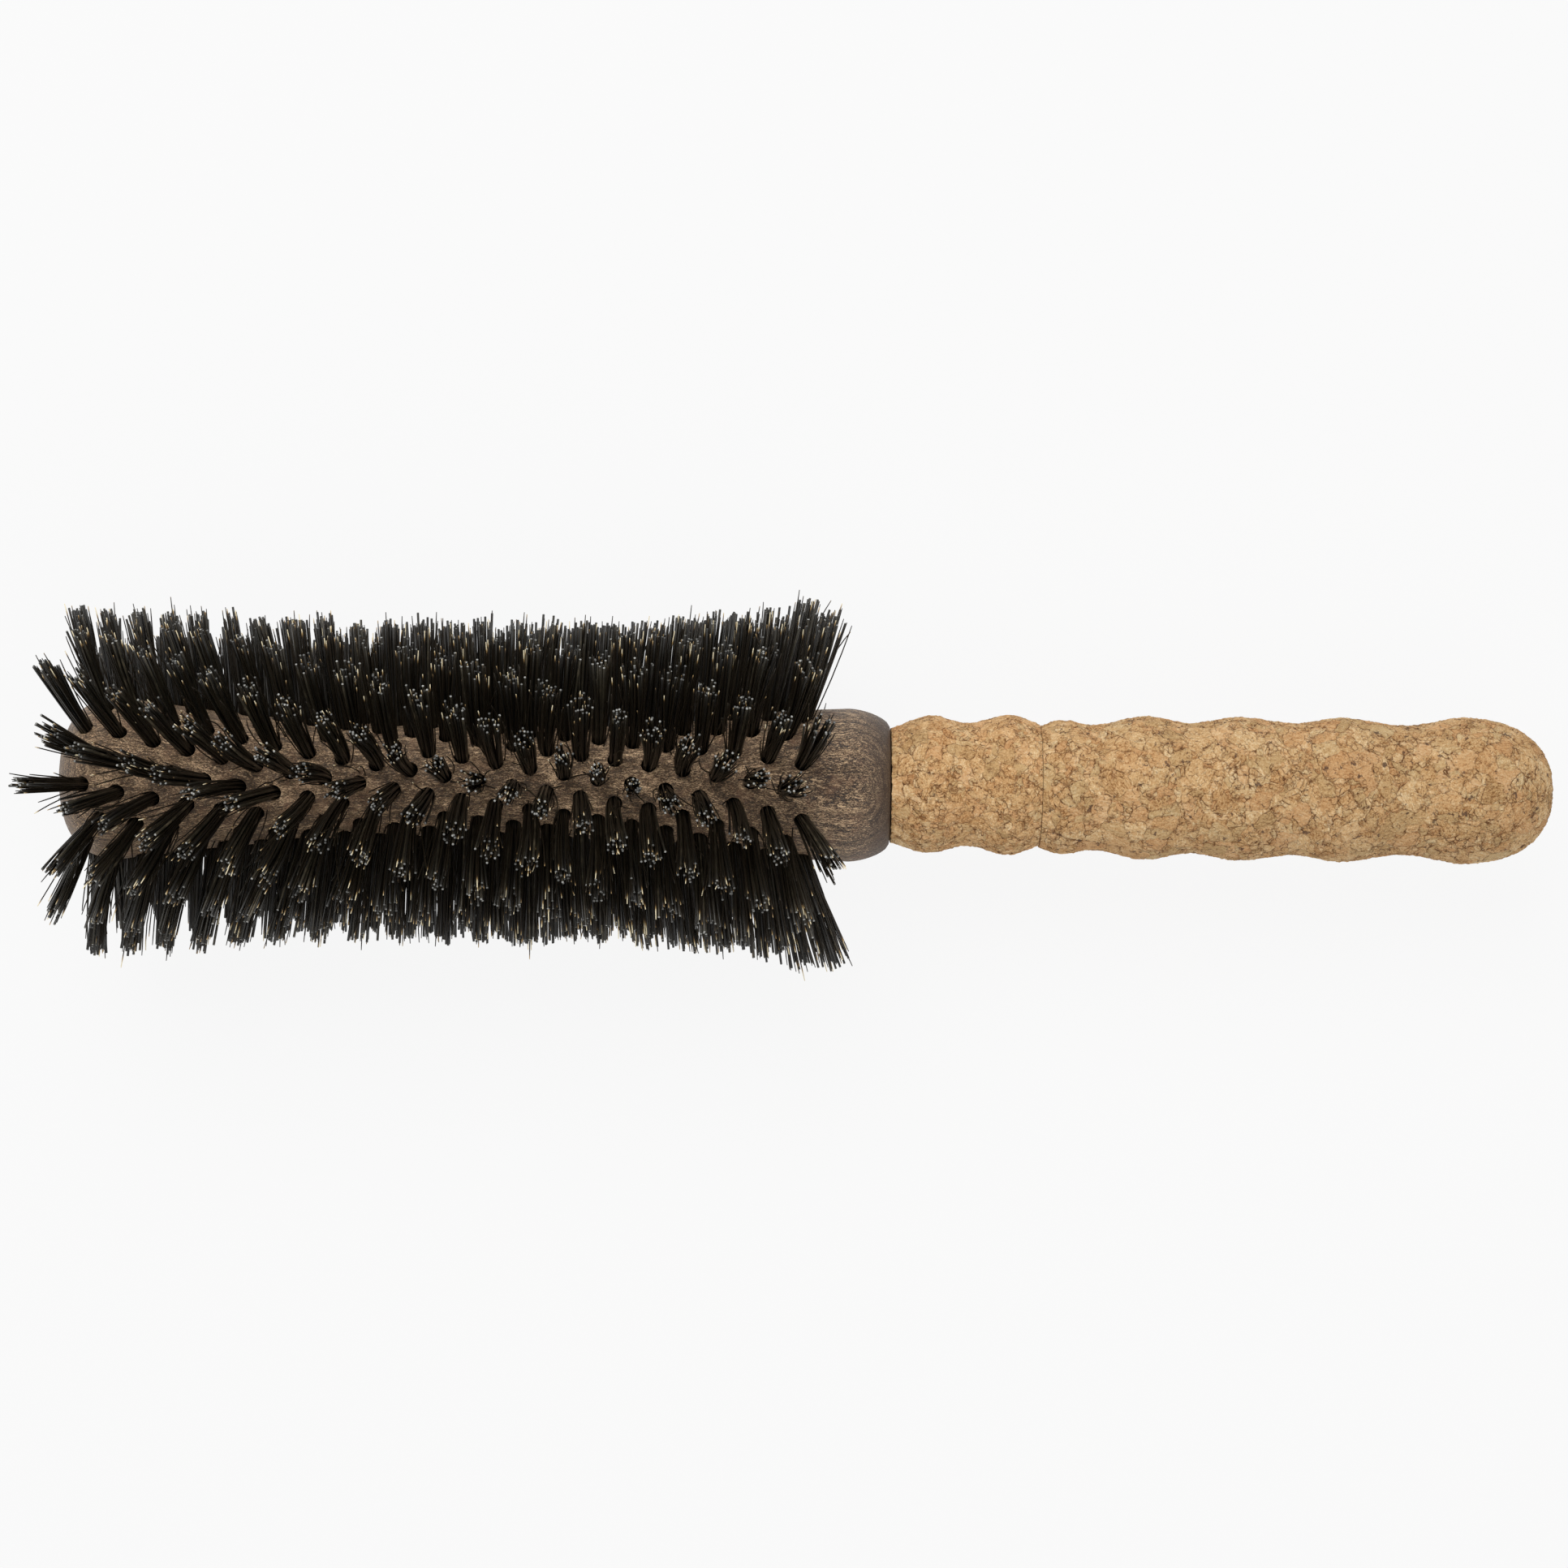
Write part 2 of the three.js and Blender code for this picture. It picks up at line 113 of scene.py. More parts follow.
def calculate(tree, operation, *values, clamp=False):
    """Arithmetic on values."""
    inputs = dict(enumerate(values))
    return node(tree, "ShaderNodeMath", inputs, operation=operation, use_clamp=clamp).outputs[0]


def move_point(tree, operation, *values):
    """Arithmetic on points and colours."""
    return node(tree, "ShaderNodeVectorMath", dict(enumerate(values)), operation=operation).outputs[0]


def along_x(tree, point):
    """The X of a point."""
    return node(tree, "ShaderNodeSeparateXYZ", {0: point}).outputs[0]


def rescale(tree, value, low, high, to_low=0.0, to_high=1.0, smooth=False):
    """Maps low..high to to_low..to_high, clamped."""
    inputs = {0: value, 1: low, 2: high, 3: to_low, 4: to_high}
    kind = "SMOOTHSTEP" if smooth else "LINEAR"
    return node(tree, "ShaderNodeMapRange", inputs, interpolation_type=kind).outputs[0]


print("helpers that add nodes, and values between them")


# %% Colour and noise helpers
def linear(red, green, blue):
    """A colour as on screen, in the linear values of the shader."""
    shares = (np.array((red, green, blue)) / 255).tolist()
    return [s / 12.92 if s <= 0.04045 else ((s + 0.055) / 1.055) ** 2.4 for s in shares] + [1.0]


def ramp(tree, factor, stops):
    """A colour ramp from {position: (red, green, blue)}."""
    made = node(tree, "ShaderNodeValToRGB", {"Fac": factor})
    bar = made.color_ramp
    while len(bar.elements) < len(stops):
        bar.elements.new(0.5)
    for element, (position, colour) in zip(bar.elements, stops.items()):
        element.position = position
        element.color = linear(*colour)
    return made.outputs["Color"]


def mixed(tree, factor, low, high):
    """Two colours mixed by a factor."""
    return node(tree, "ShaderNodeMix", {0: factor, 6: low, 7: high}, data_type="RGBA").outputs[2]


def noise(tree, place, scale, detail=2.0, roughness=0.5, output="Fac"):
    """Cloudy noise. A scale is in blobs per metre, and detail and roughness add finer blobs."""
    inputs = {"Vector": place, "Scale": scale, "Detail": detail, "Roughness": roughness}
    return node(tree, "ShaderNodeTexNoise", inputs).outputs[output]


def finish_of(name):
    """A new material: itself, its tree and its shader."""
    material = bpy.data.materials.new(name)
    material.use_nodes = True
    return material, material.node_tree, material.node_tree.nodes["Principled BSDF"]


def object_place(tree):
    """Where a point of the surface is, in the space of its piece."""
    return node(tree, "ShaderNodeTexCoord").outputs["Object"]


print(f"middle grey on screen is {linear(128, 128, 128)[0]:.3f} in a shader")

# %% [markdown]
# ## Helpers for turned pieces
# The barrel and both cork pieces are turned on a lathe, so one outline makes each. The CAD solids
# hold these outlines as facets; reading their corners from the frame and running a smooth line
# through them keeps the dressed pieces exactly where the CAD says.


# %% Outlines from the frame
WIDEST_TURNED = 17 * MM  # corners of the barrel's skin that lie further out belong to tufts


def corners_of(mesh):
    """The x of a mesh's corners, and how far they are from the brush's axis."""
    corners = np.array([v.co for v in mesh.vertices])
    return corners[:, 0], np.hypot(corners[:, 1], corners[:, 2] - axis_height)


def outside_of(nodes, hollow_from, hollow_to, hollow_radius):
    """[x, radius] of the outer corners of turned nodes, leaving out the corners of the hollow."""
    corners = [corners_of(frame["nodes"][name].data) for name in nodes]
    x = np.concatenate([part[0] for part in corners]).round(5)
    radius = np.concatenate([part[1] for part in corners])
    beyond = (x < hollow_from) | (x > hollow_to)
    outer = ((radius > hollow_radius) | beyond) & (radius < WIDEST_TURNED)
    return np.array([[place, radius[outer & (x == place)].max()] for place in np.unique(x[outer])])


def smooth_line(points, spacing):
    """A smooth line through points, with new points at an even spacing."""
    points = np.asarray(points, float)
    along = np.append(0, np.cumsum(np.linalg.norm(np.diff(points, axis=0), axis=1)))
    slopes = np.gradient(points, along, axis=0)
    count = max(2, round(along[-1] / spacing) + 1)
    where = np.linspace(0, along[-1], count)
    i = np.clip(np.searchsorted(along, where, side="right") - 1, 0, len(points) - 2)
    length = (along[i + 1] - along[i])[:, None]
    t = (where - along[i])[:, None] / length
    start = (2 * t**3 - 3 * t**2 + 1) * points[i] + (t**3 - 2 * t**2 + t) * length * slopes[i]
    end = (3 * t**2 - 2 * t**3) * points[i + 1] + (t**3 - t**2) * length * slopes[i + 1]
    return start + end


print(f"{len(frame['nodes'])} nodes in the frame to read outlines from")


# %% Turning on the lathe
SAME_POINT = 1e-6  # corners closer than this become one


def turned(name, profile, sides, closed=False):
    """A solid of revolution about the brush's axis, from a profile of [x, radius]."""
    work = bmesh.new()
    corners = [work.verts.new((x, 0, axis_height + max(radius, 0))) for x, radius in profile]
    pairs = list(zip(corners, corners[1:] + corners[:1])) if closed else list(zip(corners, corners[1:]))
    edges = [work.edges.new(pair) for pair in pairs]
    bmesh.ops.spin(work, geom=corners + edges, cent=(0, 0, axis_height), axis=(1, 0, 0),
                   angle=math.tau, steps=sides, use_merge=True)
    bmesh.ops.remove_doubles(work, verts=work.verts, dist=SAME_POINT)
    bmesh.ops.recalc_face_normals(work, faces=work.faces)
    mesh = bpy.data.meshes.new(name)
    work.to_mesh(mesh)
    work.free()
    piece = bpy.data.objects.new(name, mesh)
    bpy.context.scene.collection.objects.link(piece)
    print(f"turned {name}: {len(profile)} points, {sides} sides")
    return piece


def apply_modifiers(piece):
    """Turns the piece's modifiers into plain mesh."""
    bpy.context.view_layer.update()
    seen = piece.evaluated_get(bpy.context.evaluated_depsgraph_get())
    mesh = bpy.data.meshes.new_from_object(seen)
    piece.modifiers.clear()
    piece.data = mesh
    mesh.materials.clear()


# %% [markdown]
# ## Where the tufts stand
# A drilling machine steps the barrel along and turns it between rings, so the tufts follow a simple
# rule: 43 rings of 8, every second ring staggered by half a step, and each ring turned a little
# further, which makes the rows wind slowly about the axis. The numbers are the CAD model's own. The
# tufts could be placed by hand, but a rule also holds on the side that no one sees.

# %% The drilling pattern
RING_COUNT = 43
RING_PITCH = 3.25 * MM
FIRST_RING = 6.4 * MM  # from the wooden tip
TUFTS_PER_RING = 8
FIRST_TUFT_ANGLE = 4.6  # degrees from straight up
TWIST_PER_RING = 2.71  # degrees
BARREL_HOLLOW = 9 * MM  # corners nearer to the axis than this belong to the bore

band_nodes = sorted(name for name in frame["nodes"] if name.startswith("bristle_band"))
collar_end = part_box("front_cork")[0].x
barrel_nodes = ["barrel_body", *band_nodes]
barrel_outline = outside_of(barrel_nodes, wood_tip + FIRST_RING / 2, collar_end, BARREL_HOLLOW)
# The tenon is part of the barrel too, so the outline stops at the face of the collar.
barrel_outline = barrel_outline[barrel_outline[:, 0] < collar_end - 0.1 * MM]

ring_number, tuft_number = (grid.ravel() for grid in np.mgrid[0:RING_COUNT, 0:TUFTS_PER_RING])
tuft_x = wood_tip + FIRST_RING + ring_number * RING_PITCH
step = 360 / TUFTS_PER_RING
staggered = tuft_number + ring_number % 2 / 2
tuft_angle = np.radians(FIRST_TUFT_ANGLE + TWIST_PER_RING * ring_number + step * staggered)
foot_radius = np.interp(tuft_x, *barrel_outline.T)
print(f"{len(tuft_x)} tufts, the last ring {(tuft_x[-1] - wood_tip) / MM:.1f} mm from the tip")

# %% [markdown]
# ## How the tufts lean
# The tufts flare at both ends of the barrel, and those underneath are bent by the weight of the brush.
# Near the tip those on top lie flatter and those at the sides stand straighter, mostly on the near
# side, which leaves gaps between every two rings. The lean could be one smooth rule, but the outline
# of a brush is read tuft by tuft, so a few that stand out are given their own.

# %% Leans
LEANS = {0: -15, 22: 0, 40: 7.2, 42: 13}  # degrees towards the grip, by ring
STRAYING = 0.7  # degrees by which a tuft misses its place in the pattern
SIDE_LEAN = (14, 5)  # degrees more towards the grip at the sides, near and far
SAGGING = {-1: 13, 0: 0, 0.3: -2.4}  # the same by height: -1 is underneath and 0 at the side
FAR_SAGGING = 0.4  # as a share of the near side's
TOP_LEAN = 4  # degrees towards the tip on top and underneath
HELD_LEAN = 3  # degrees, where the brush lies on its last rings
# A few tufts lean their own way on the real brush: {tuft: (lean, swerve)}.
OWN_WAY = {0: (-22, -4), 15: (-20, 1), 31: (-23, 1), 63: (-16, -4), 79: (-17, -3),
           95: (-16, -5), 333: (5, -5), 341: (10, -3), 342: (14, -5), 343: (18, 0)}


def fading(rings):
    """1 at the tip, falling to 0 over a number of rings."""
    return np.clip(1 - ring_number / rings, 0, 1)


rng = np.random.default_rng(43)
near_side = np.sin(tuft_angle) > 0
height = np.cos(tuft_angle)
tuft_lean = np.interp(ring_number, list(LEANS), list(LEANS.values()))
tuft_lean += np.where(near_side, *SIDE_LEAN) * np.sin(tuft_angle) ** 2 * fading(9)
sagging = np.interp(height, list(SAGGING), list(SAGGING.values()))
tuft_lean += np.where(near_side, 1, FAR_SAGGING) * sagging * fading(20)
tuft_lean -= TOP_LEAN * np.abs(height) * fading(16)
tuft_lean += rng.normal(0, STRAYING, len(tuft_lean))
swerve = rng.normal(0, STRAYING, len(tuft_lean))
for tuft, (lean, sidewards) in OWN_WAY.items():
    tuft_lean[tuft] = lean
    swerve[tuft] = sidewards
# Under the brush its weight holds the last rings together.
underneath = (ring_number > RING_COUNT - 3) & (height < -0.8)
tuft_lean[underneath] = HELD_LEAN
print(f"leans from {tuft_lean.min():.0f} to {tuft_lean.max():.0f} degrees")
tuft_lean = np.radians(tuft_lean)
swerve = np.radians(swerve)

# %% [markdown]
# ## Feet and directions
# Each tuft grows out of its own hole, so it needs three directions at right angles: the way that it
# grows, the way round the barrel, and the way across both. One loop over the tufts would be easier to
# read, but whole arrays do the same sums for all 344 at once.

# %% Feet and directions
outward = np.stack([0 * tuft_angle, -np.sin(tuft_angle), np.cos(tuft_angle)], 1)
sideways = np.stack([0 * tuft_angle, -np.cos(tuft_angle), -np.sin(tuft_angle)], 1)
forward = np.array([1.0, 0, 0])
tuft_foot = tuft_x[:, None] * forward + foot_radius[:, None] * outward + (0, 0, axis_height)
tuft_way = np.cos(tuft_lean)[:, None] * outward + np.sin(tuft_lean)[:, None] * forward
tuft_way += np.sin(swerve)[:, None] * sideways
tuft_way /= np.linalg.norm(tuft_way, axis=1, keepdims=True)
tuft_cross = np.cross(tuft_way, sideways)
print(f"feet {foot_radius.min() / MM:.1f} to {foot_radius.max() / MM:.1f} mm from the axis")

# %% [markdown]
# ## Wooden barrel
# The barrel is one turned piece: domed tip, slim waist, smooth collar, and a tenon that carries the
# front cork. The holes for the tufts are drilled, so they are cut out of the turned solid with a
# boolean, which gives every hole a clean rim and a real depth. A dented surface would be lighter,
# but its rims would follow the mesh and not the drill.

# %% Turned wood
BARREL_SIDES = 120
BARREL_SPACING = 1.1 * MM  # between the points of the outline
SPINDLE_CLEARANCE = 0.3 * MM

collar_face = barrel_outline[-1, 0]
barrel_corners = [v.co for v in frame["nodes"]["barrel_body"].data.vertices]
barrel_end = max(corner.x for corner in barrel_corners)
end_radii = [
    math.hypot(corner.y, corner.z - axis_height)
    for corner in barrel_corners
    if corner.x > barrel_end - 0.1 * MM
]
bore_radius, tenon_radius = min(end_radii), max(end_radii)
bore_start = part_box("spindle")[0].x - SPINDLE_CLEARANCE
wood_profile = [
    *smooth_line(barrel_outline, BARREL_SPACING),
    (collar_face, tenon_radius),
    (barrel_end, tenon_radius),
    (barrel_end, bore_radius),
    (bore_start, bore_radius),
    (bore_start, 0),
]
wood_barrel = turned("wood_barrel", wood_profile, BARREL_SIDES)

# %% Drilled holes
DRILL_RADIUS = 1.5 * MM
DRILL_DEPTH = 5.5 * MM
DRILL_SIDES = 20
DRILL_OVER = 2 * MM  # how much longer the drill is than its hole, so that it comes out of the wood
RIM_ANGLE = math.radians(35)  # sharper edges than this stay sharp

drills = bmesh.new()
for foot, way, cross, side in zip(tuft_foot, tuft_way, tuft_cross, sideways):
    middle = Vector(foot - way * (DRILL_DEPTH / 2 - DRILL_OVER / 2))
    turn = Matrix([cross, side, way]).transposed().to_4x4()
    bmesh.ops.create_cone(drills, cap_ends=True, segments=DRILL_SIDES, radius1=DRILL_RADIUS,
                          radius2=DRILL_RADIUS, depth=DRILL_DEPTH + DRILL_OVER,
                          matrix=Matrix.Translation(middle) @ turn)
bmesh.ops.recalc_face_normals(drills, faces=drills.faces)
drill_mesh = bpy.data.meshes.new("drills")
drills.to_mesh(drill_mesh)
drills.free()
drill_holes = bpy.data.objects.new("drills", drill_mesh)
bpy.context.scene.collection.objects.link(drill_holes)

cut = wood_barrel.modifiers.new("drilled", "BOOLEAN")
cut.operation = "DIFFERENCE"
cut.solver = "MANIFOLD"
cut.object = drill_holes
apply_modifiers(wood_barrel)
bpy.data.objects.remove(drill_holes)
wood_barrel.data.shade_smooth()
wood_barrel.data.set_sharp_from_angle(angle=RIM_ANGLE)
print(f"barrel: {len(wood_barrel.data.polygons)} faces")

# %% [markdown]
# ## Stained wood
# The wood is beech stained a warm grey brown. Its fibres and pores could be painted in an image, but
# a picture wrapped round the barrel would show its seam and stretch over the tip. A solid texture
# goes through the wood as the grain does: here it is noise drawn out along the brush. Real grain is
# not quite straight, so everything is measured in a slightly wavy space.

# %% Wood fibres
WAVINESS = 1.6 * MM

wood, tree, shader = finish_of("stained wood")
place = object_place(tree)
along_barrel, across_barrel, _ = node(tree, "ShaderNodeSeparateXYZ", {0: place}).outputs
wave_place = move_point(tree, "MULTIPLY", place, (90, 260, 260))
wave = noise(tree, wave_place, 1.0, output="Color")
wave = move_point(tree, "SUBTRACT", wave, (0.5, 0.5, 0.5))
wave = move_point(tree, "MULTIPLY", wave, (0, WAVINESS, WAVINESS))
wavy = move_point(tree, "ADD", place, wave)


def drawn_out(scale_along, scale_across, detail, roughness=0.5):
    """Noise drawn out along the grain."""
    stretched = move_point(tree, "MULTIPLY", wavy, (scale_along, scale_across, scale_across))
    return noise(tree, stretched, 1.0, detail, roughness)


fibres_fine = drawn_out(900, 5600, 3.0, 0.75)
fibres_wide = drawn_out(170, 2100, 2.0, 0.6)
speckle = drawn_out(2700, 8600, 2.0, 0.8)
pores = drawn_out(1100, 6400, 1.0)
flecks = drawn_out(2000, 7000, 2.0, 0.7)
mottle = noise(tree, place, 110.0, 3.0)
print(f"wood fibres: {len(tree.nodes)} nodes")

# %% [markdown]
# ## Growth layers
# The layers of a tree are nearly flat across so small a piece, so they run as lines along the waist
# and close into arcs where the collar and the tip swell through them. Measuring the distance from a
# far-off pith draws both without a special case for either. Finer layers lie between them.

# %% Layers and tone of the wood
PITH = (0, 3 * MM, -0.05)  # the heart of the tree, far below the brush
LAYER = 1.9 * MM

from_pith = move_point(tree, "SUBTRACT", wavy, PITH)
from_pith = move_point(tree, "MULTIPLY", from_pith, (0.03, 1, 1))
pith_distance = node(tree, "ShaderNodeVectorMath", {0: from_pith}, operation="LENGTH").outputs["Value"]
layer = calculate(tree, "FRACT", calculate(tree, "DIVIDE", pith_distance, LAYER))
late_wood = rescale(tree, layer, 0.45, 0.93, smooth=True)
fine_place = {0: calculate(tree, "MULTIPLY", along_barrel, 260),
              1: calculate(tree, "MULTIPLY", pith_distance, 4600),
              2: calculate(tree, "MULTIPLY", across_barrel, 300)}
fine_layers = noise(tree, node(tree, "ShaderNodeCombineXYZ", fine_place).outputs[0], 1.0, 3.0, 0.7)

tone = rescale(tree, fibres_fine, 0.36, 0.64, -0.2, 0.62)
for part, low, high, least, most in (
    (fine_layers, 0.36, 0.64, -0.24, 0.38),
    (fibres_wide, 0.32, 0.68, -0.1, 0.22),
    (speckle, 0.36, 0.64, -0.44, 0.66),
    (mottle, 0.3, 0.7, -0.14, 0.1),
):
    tone = calculate(tree, "ADD", tone, rescale(tree, part, low, high, least, most))
tone = calculate(tree, "SUBTRACT", tone, calculate(tree, "MULTIPLY", late_wood, 0.16), clamp=True)
print(f"layers {LAYER / MM:.1f} mm thick")

# %% [markdown]
# ## Colour of the wood, with painted light and shade
# Stain sinks in unevenly, so the tone runs through a ramp of browns, with reddish clouds, pale flecks
# and dark pores over it. The waist is painted paler, as painted light that lifts the shade of the
# tufts, and the collar is painted darker towards its face, as painted shade where it rounds away
# from the light. End grain drinks more of the stain, so faces that look along the brush are darker.
# Each could be painted on. Here each is a rule about where a point is and which way it faces.

# %% Wood colour
WAIST_LIGHT_FROM, WAIST_LIGHT_TO = 12 * MM, 30 * MM  # from the face of the collar
COLLAR_SHADE_FROM = 8 * MM

wood_colour = ramp(tree, tone, {0.0: (24, 16, 9), 0.3: (72, 50, 33),
                                0.6: (116, 86, 59), 1.0: (222, 190, 150)})
reddish = rescale(tree, noise(tree, place, 260.0), 0.54, 0.72, 0.0, 0.4)
wood_colour = mixed(tree, reddish, wood_colour, linear(124, 88, 64))
pale = rescale(tree, flecks, 0.58, 0.68, 0.0, 0.6)
wood_colour = mixed(tree, pale, wood_colour, linear(198, 174, 142))
pore_depth = rescale(tree, pores, 0.58, 0.68)
pore_shade = calculate(tree, "MULTIPLY", pore_depth, 0.65)
wood_colour = mixed(tree, pore_shade, wood_colour, linear(38, 27, 20))

# Painted light: the waist is made paler, to lift the shade that the tufts cast on it.
waist_painted_light = rescale(tree, along_barrel, collar_face - WAIST_LIGHT_FROM, collar_face - WAIST_LIGHT_TO, smooth=True)
waist_lit_colour = move_point(tree, "MULTIPLY", wood_colour, (1.32, 1.32, 1.34))
waist_lit_colour = mixed(tree, 0.1, waist_lit_colour, linear(206, 172, 134))
wood_colour = mixed(tree, waist_painted_light, wood_colour, waist_lit_colour)
# Painted shade: the collar darkens towards its face, where it rounds away from the light.
collar_painted_shade = rescale(tree, along_barrel, collar_face - COLLAR_SHADE_FROM, collar_face - MM, 0.0, 0.68,
                       smooth=True)
wood_colour = mixed(tree, collar_painted_shade, wood_colour, linear(62, 44, 30))
facing = node(tree, "ShaderNodeTexCoord").outputs["Normal"]
along_grain = calculate(tree, "ABSOLUTE", along_x(tree, facing))
end_grain = rescale(tree, along_grain, 0.35, 0.95, 0.0, 0.5, smooth=True)
wood_colour = mixed(tree, end_grain, wood_colour, linear(58, 44, 33))
tree.links.new(wood_colour, shader.inputs["Base Color"])
print(f"rubbed pale {WAIST_LIGHT_FROM / MM:.0f} to {WAIST_LIGHT_TO / MM:.0f} mm from the face of the collar")

# %% [markdown]
# ## Shine and grain of the wood
# The finish is thin and worn, so fibres that stand proud are duller than the hollows between them.
# The grain is too fine to model, and a bump map does it: the shader then tilts the light and not the
# surface. With this the barrel is done, so it is put on its body and takes the CAD solid's place.

# %% Wood shine and grain
GRAIN_DEPTH = 0.16 * MM

tree.links.new(rescale(tree, fibres_fine, 0.3, 0.7, 0.54, 0.36), shader.inputs["Roughness"])
grain_height = calculate(tree, "ADD", fibres_fine, speckle)
grain_height = calculate(tree, "SUBTRACT", grain_height, calculate(tree, "MULTIPLY", pore_depth, 0.6))
grain_inputs = {"Height": grain_height, "Strength": 1.0, "Distance": GRAIN_DEPTH}
grain_bump = node(tree, "ShaderNodeBump", grain_inputs)
tree.links.new(grain_bump.outputs[0], shader.inputs["Normal"])
print(f"stained wood: {len(tree.nodes)} nodes")

wood_barrel.data.materials.append(wood)
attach(wood_barrel, "barrel")
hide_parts("barrel_body")

# %% [markdown]
# ## Bristles
# Each tuft is folded over a wire anchor and holds two kinds of fibre: thick nylon quills, cut off
# square, whose flat ends catch the light as dots, given a pale grey as a painted highlight, and thin
# boar bristle with a tapering amber tip, a little longer. Blender's own hair could draw them, but a
# hair system is not a mesh that can be exported, so every fibre is a thin tube. They are made all at
# once with arrays, one mesh for each band and kind.


# %% A mesh of many fibres
def fibre_lines(root, bend, tip, shares):
    """Points at some shares of each fibre, on a curve from root to tip that is pulled towards bend."""
    t = np.reshape(shares, (1, -1, 1))
    return (1 - t) ** 2 * root[:, None] + 2 * t * (1 - t) * bend[:, None] + t**2 * tip[:, None]


ODD_WAY = [0.31, 0.62, 0.72]  # a way that no fibre runs, so a cross product with it never vanishes


def fibre_mesh(name, lines, radii, sides, end_rise):
    """Closed tubes along the lines. radii has one value for each point of a line, and the last
    ring is capped by a point that stands end_rise further out."""
    count, points, _ = lines.shape
    way = np.gradient(lines, axis=1)
    way /= np.linalg.norm(way, axis=2, keepdims=True)
    across = np.cross(way, ODD_WAY)
    across /= np.linalg.norm(across, axis=2, keepdims=True)
    beside = np.cross(way, across)
    turn = np.linspace(0, math.tau, sides, endpoint=False)
    wheel = np.cos(turn)[:, None] * across[:, :, None] + np.sin(turn)[:, None] * beside[:, :, None]
    rings = lines[:, :, None] + wheel * np.broadcast_to(radii, (count, points))[:, :, None, None]
    root_cap = lines[:, :1]
    end_cap = lines[:, -1:] + way[:, -1:] * np.reshape(end_rise, (-1, 1, 1))
    corners = np.concatenate([root_cap, rings.reshape(count, -1, 3), end_cap], axis=1)

    ring = 1 + np.arange(points)[:, None] * sides + np.arange(sides)
    following = np.roll(ring, -1, axis=1)
    walls = np.stack([ring[:-1], following[:-1], following[1:], ring[1:]], -1).reshape(-1, 4)
    last = points * sides + 1
    roots = np.stack([following[0], ring[0], np.zeros(sides, int)], -1)
    ends = np.stack([ring[-1], following[-1], np.full(sides, last)], -1)
    first_corner = np.arange(count)[:, None, None] * (last + 1)
    mesh = bpy.data.meshes.new(name)
    faces = [
        *(first_corner + walls).reshape(-1, 4).tolist(),
        *(first_corner + roots).reshape(-1, 3).tolist(),
        *(first_corner + ends).reshape(-1, 3).tolist(),
    ]
    mesh.from_pydata(corners.reshape(-1, 3), [], faces)
    mesh.shade_smooth()
    print(f"{name}: {count} fibres, {len(faces)} faces")
    return mesh


# %% [markdown]
# ## Where each fibre stands
# The fibres of a tuft fill its round hole like seeds in a sunflower, which spreads any number of
# them evenly. Places drawn by chance would leave clumps and gaps instead. Every third place holds a
# quill, and each place is shaken a little, so that the pattern doesn't show.

# %% Places in a tuft
QUILL_RADIUS = 0.24 * MM
BOAR_RADIUS = 0.135 * MM
FIBRES_PER_TUFT = 45
QUILL_EVERY = 3
TUFT_RADIUS = 1.28 * MM
SEED_SHAKE = 0.06 * MM  # how far a fibre misses its place
GOLDEN_ANGLE = math.pi * (3 - math.sqrt(5))

seed = np.arange(FIBRES_PER_TUFT)
tuft_count = len(tuft_foot)
tuft_turn = rng.uniform(0, math.tau, (tuft_count, 1))
seed_radius = TUFT_RADIUS * np.sqrt((seed + 0.5) / FIBRES_PER_TUFT)
seed_angle = tuft_turn + seed * GOLDEN_ANGLE
seed_place = np.stack([seed_radius * np.cos(seed_angle), seed_radius * np.sin(seed_angle)], -1)
seed_place += rng.normal(0, SEED_SHAKE, seed_place.shape)
print(f"{FIBRES_PER_TUFT} fibres in each hole, about {TUFT_RADIUS / MM * 2:.1f} mm across")

# %% [markdown]
# ## How a tuft opens
# Outside its hole a tuft opens to about one and a half times its width. At both ends no neighbour
# holds it together, so it opens more. At the sides of the brush a tuft mingles with its neighbours,
# while on top and underneath it stays apart. Blender's sculpting could pull single tufts open, but
# numbers by ring and height reach all of them at once.

# %% Tufts that open and mingle
TUFT_OPENS = (0.78, 1.18)  # least and most, by chance
LOOSE_RINGS = {0: 1.3, 1: 1.15, 40: 1.15, 41: 1.25, 42: 1.6}  # how much more the end rings open
LOOSEST_TUFT = 2.1  # the last one of all, beside the collar
HELD_TUFT = 0.9  # where the brush lies on it
TUFT_BOW = 0.45 * MM  # how far a whole tuft bends
MINGLING = 0.6  # at the sides
MINGLING_OPENS = 0.12  # how much more a tuft opens where it mingles

tuft_opening = rng.uniform(*TUFT_OPENS, tuft_count)
tuft_opening = tuft_opening * [LOOSE_RINGS.get(ring, 1) for ring in ring_number.tolist()]
tuft_opening *= np.interp(ring_number, [8, 16], [1.0, 1.16])
mingling = np.interp(np.abs(height), [0.1, 0.35, 0.75, 0.92], [0, MINGLING, MINGLING, 0])
mingling *= np.interp(ring_number, [6, 16], [0, 1])
tuft_opening *= 1 + MINGLING_OPENS * mingling
tuft_opening[underneath] = HELD_TUFT
tuft_opening[-1] = LOOSEST_TUFT
tuft_bow = rng.normal(0, TUFT_BOW, (tuft_count, 1, 2))
print(f"tufts open {tuft_opening.min():.2f} to {tuft_opening.max():.2f} times")

# %% [markdown]
# ## Where the fibres end
# The tufts are trimmed on the finished brush, so their ends follow one hourglass, whichever way a
# tuft leans. A leaning fibre meets that outline further along than it stands, so its length is
# found by a guess that is mended twice. The fibres under the brush stop at the table.

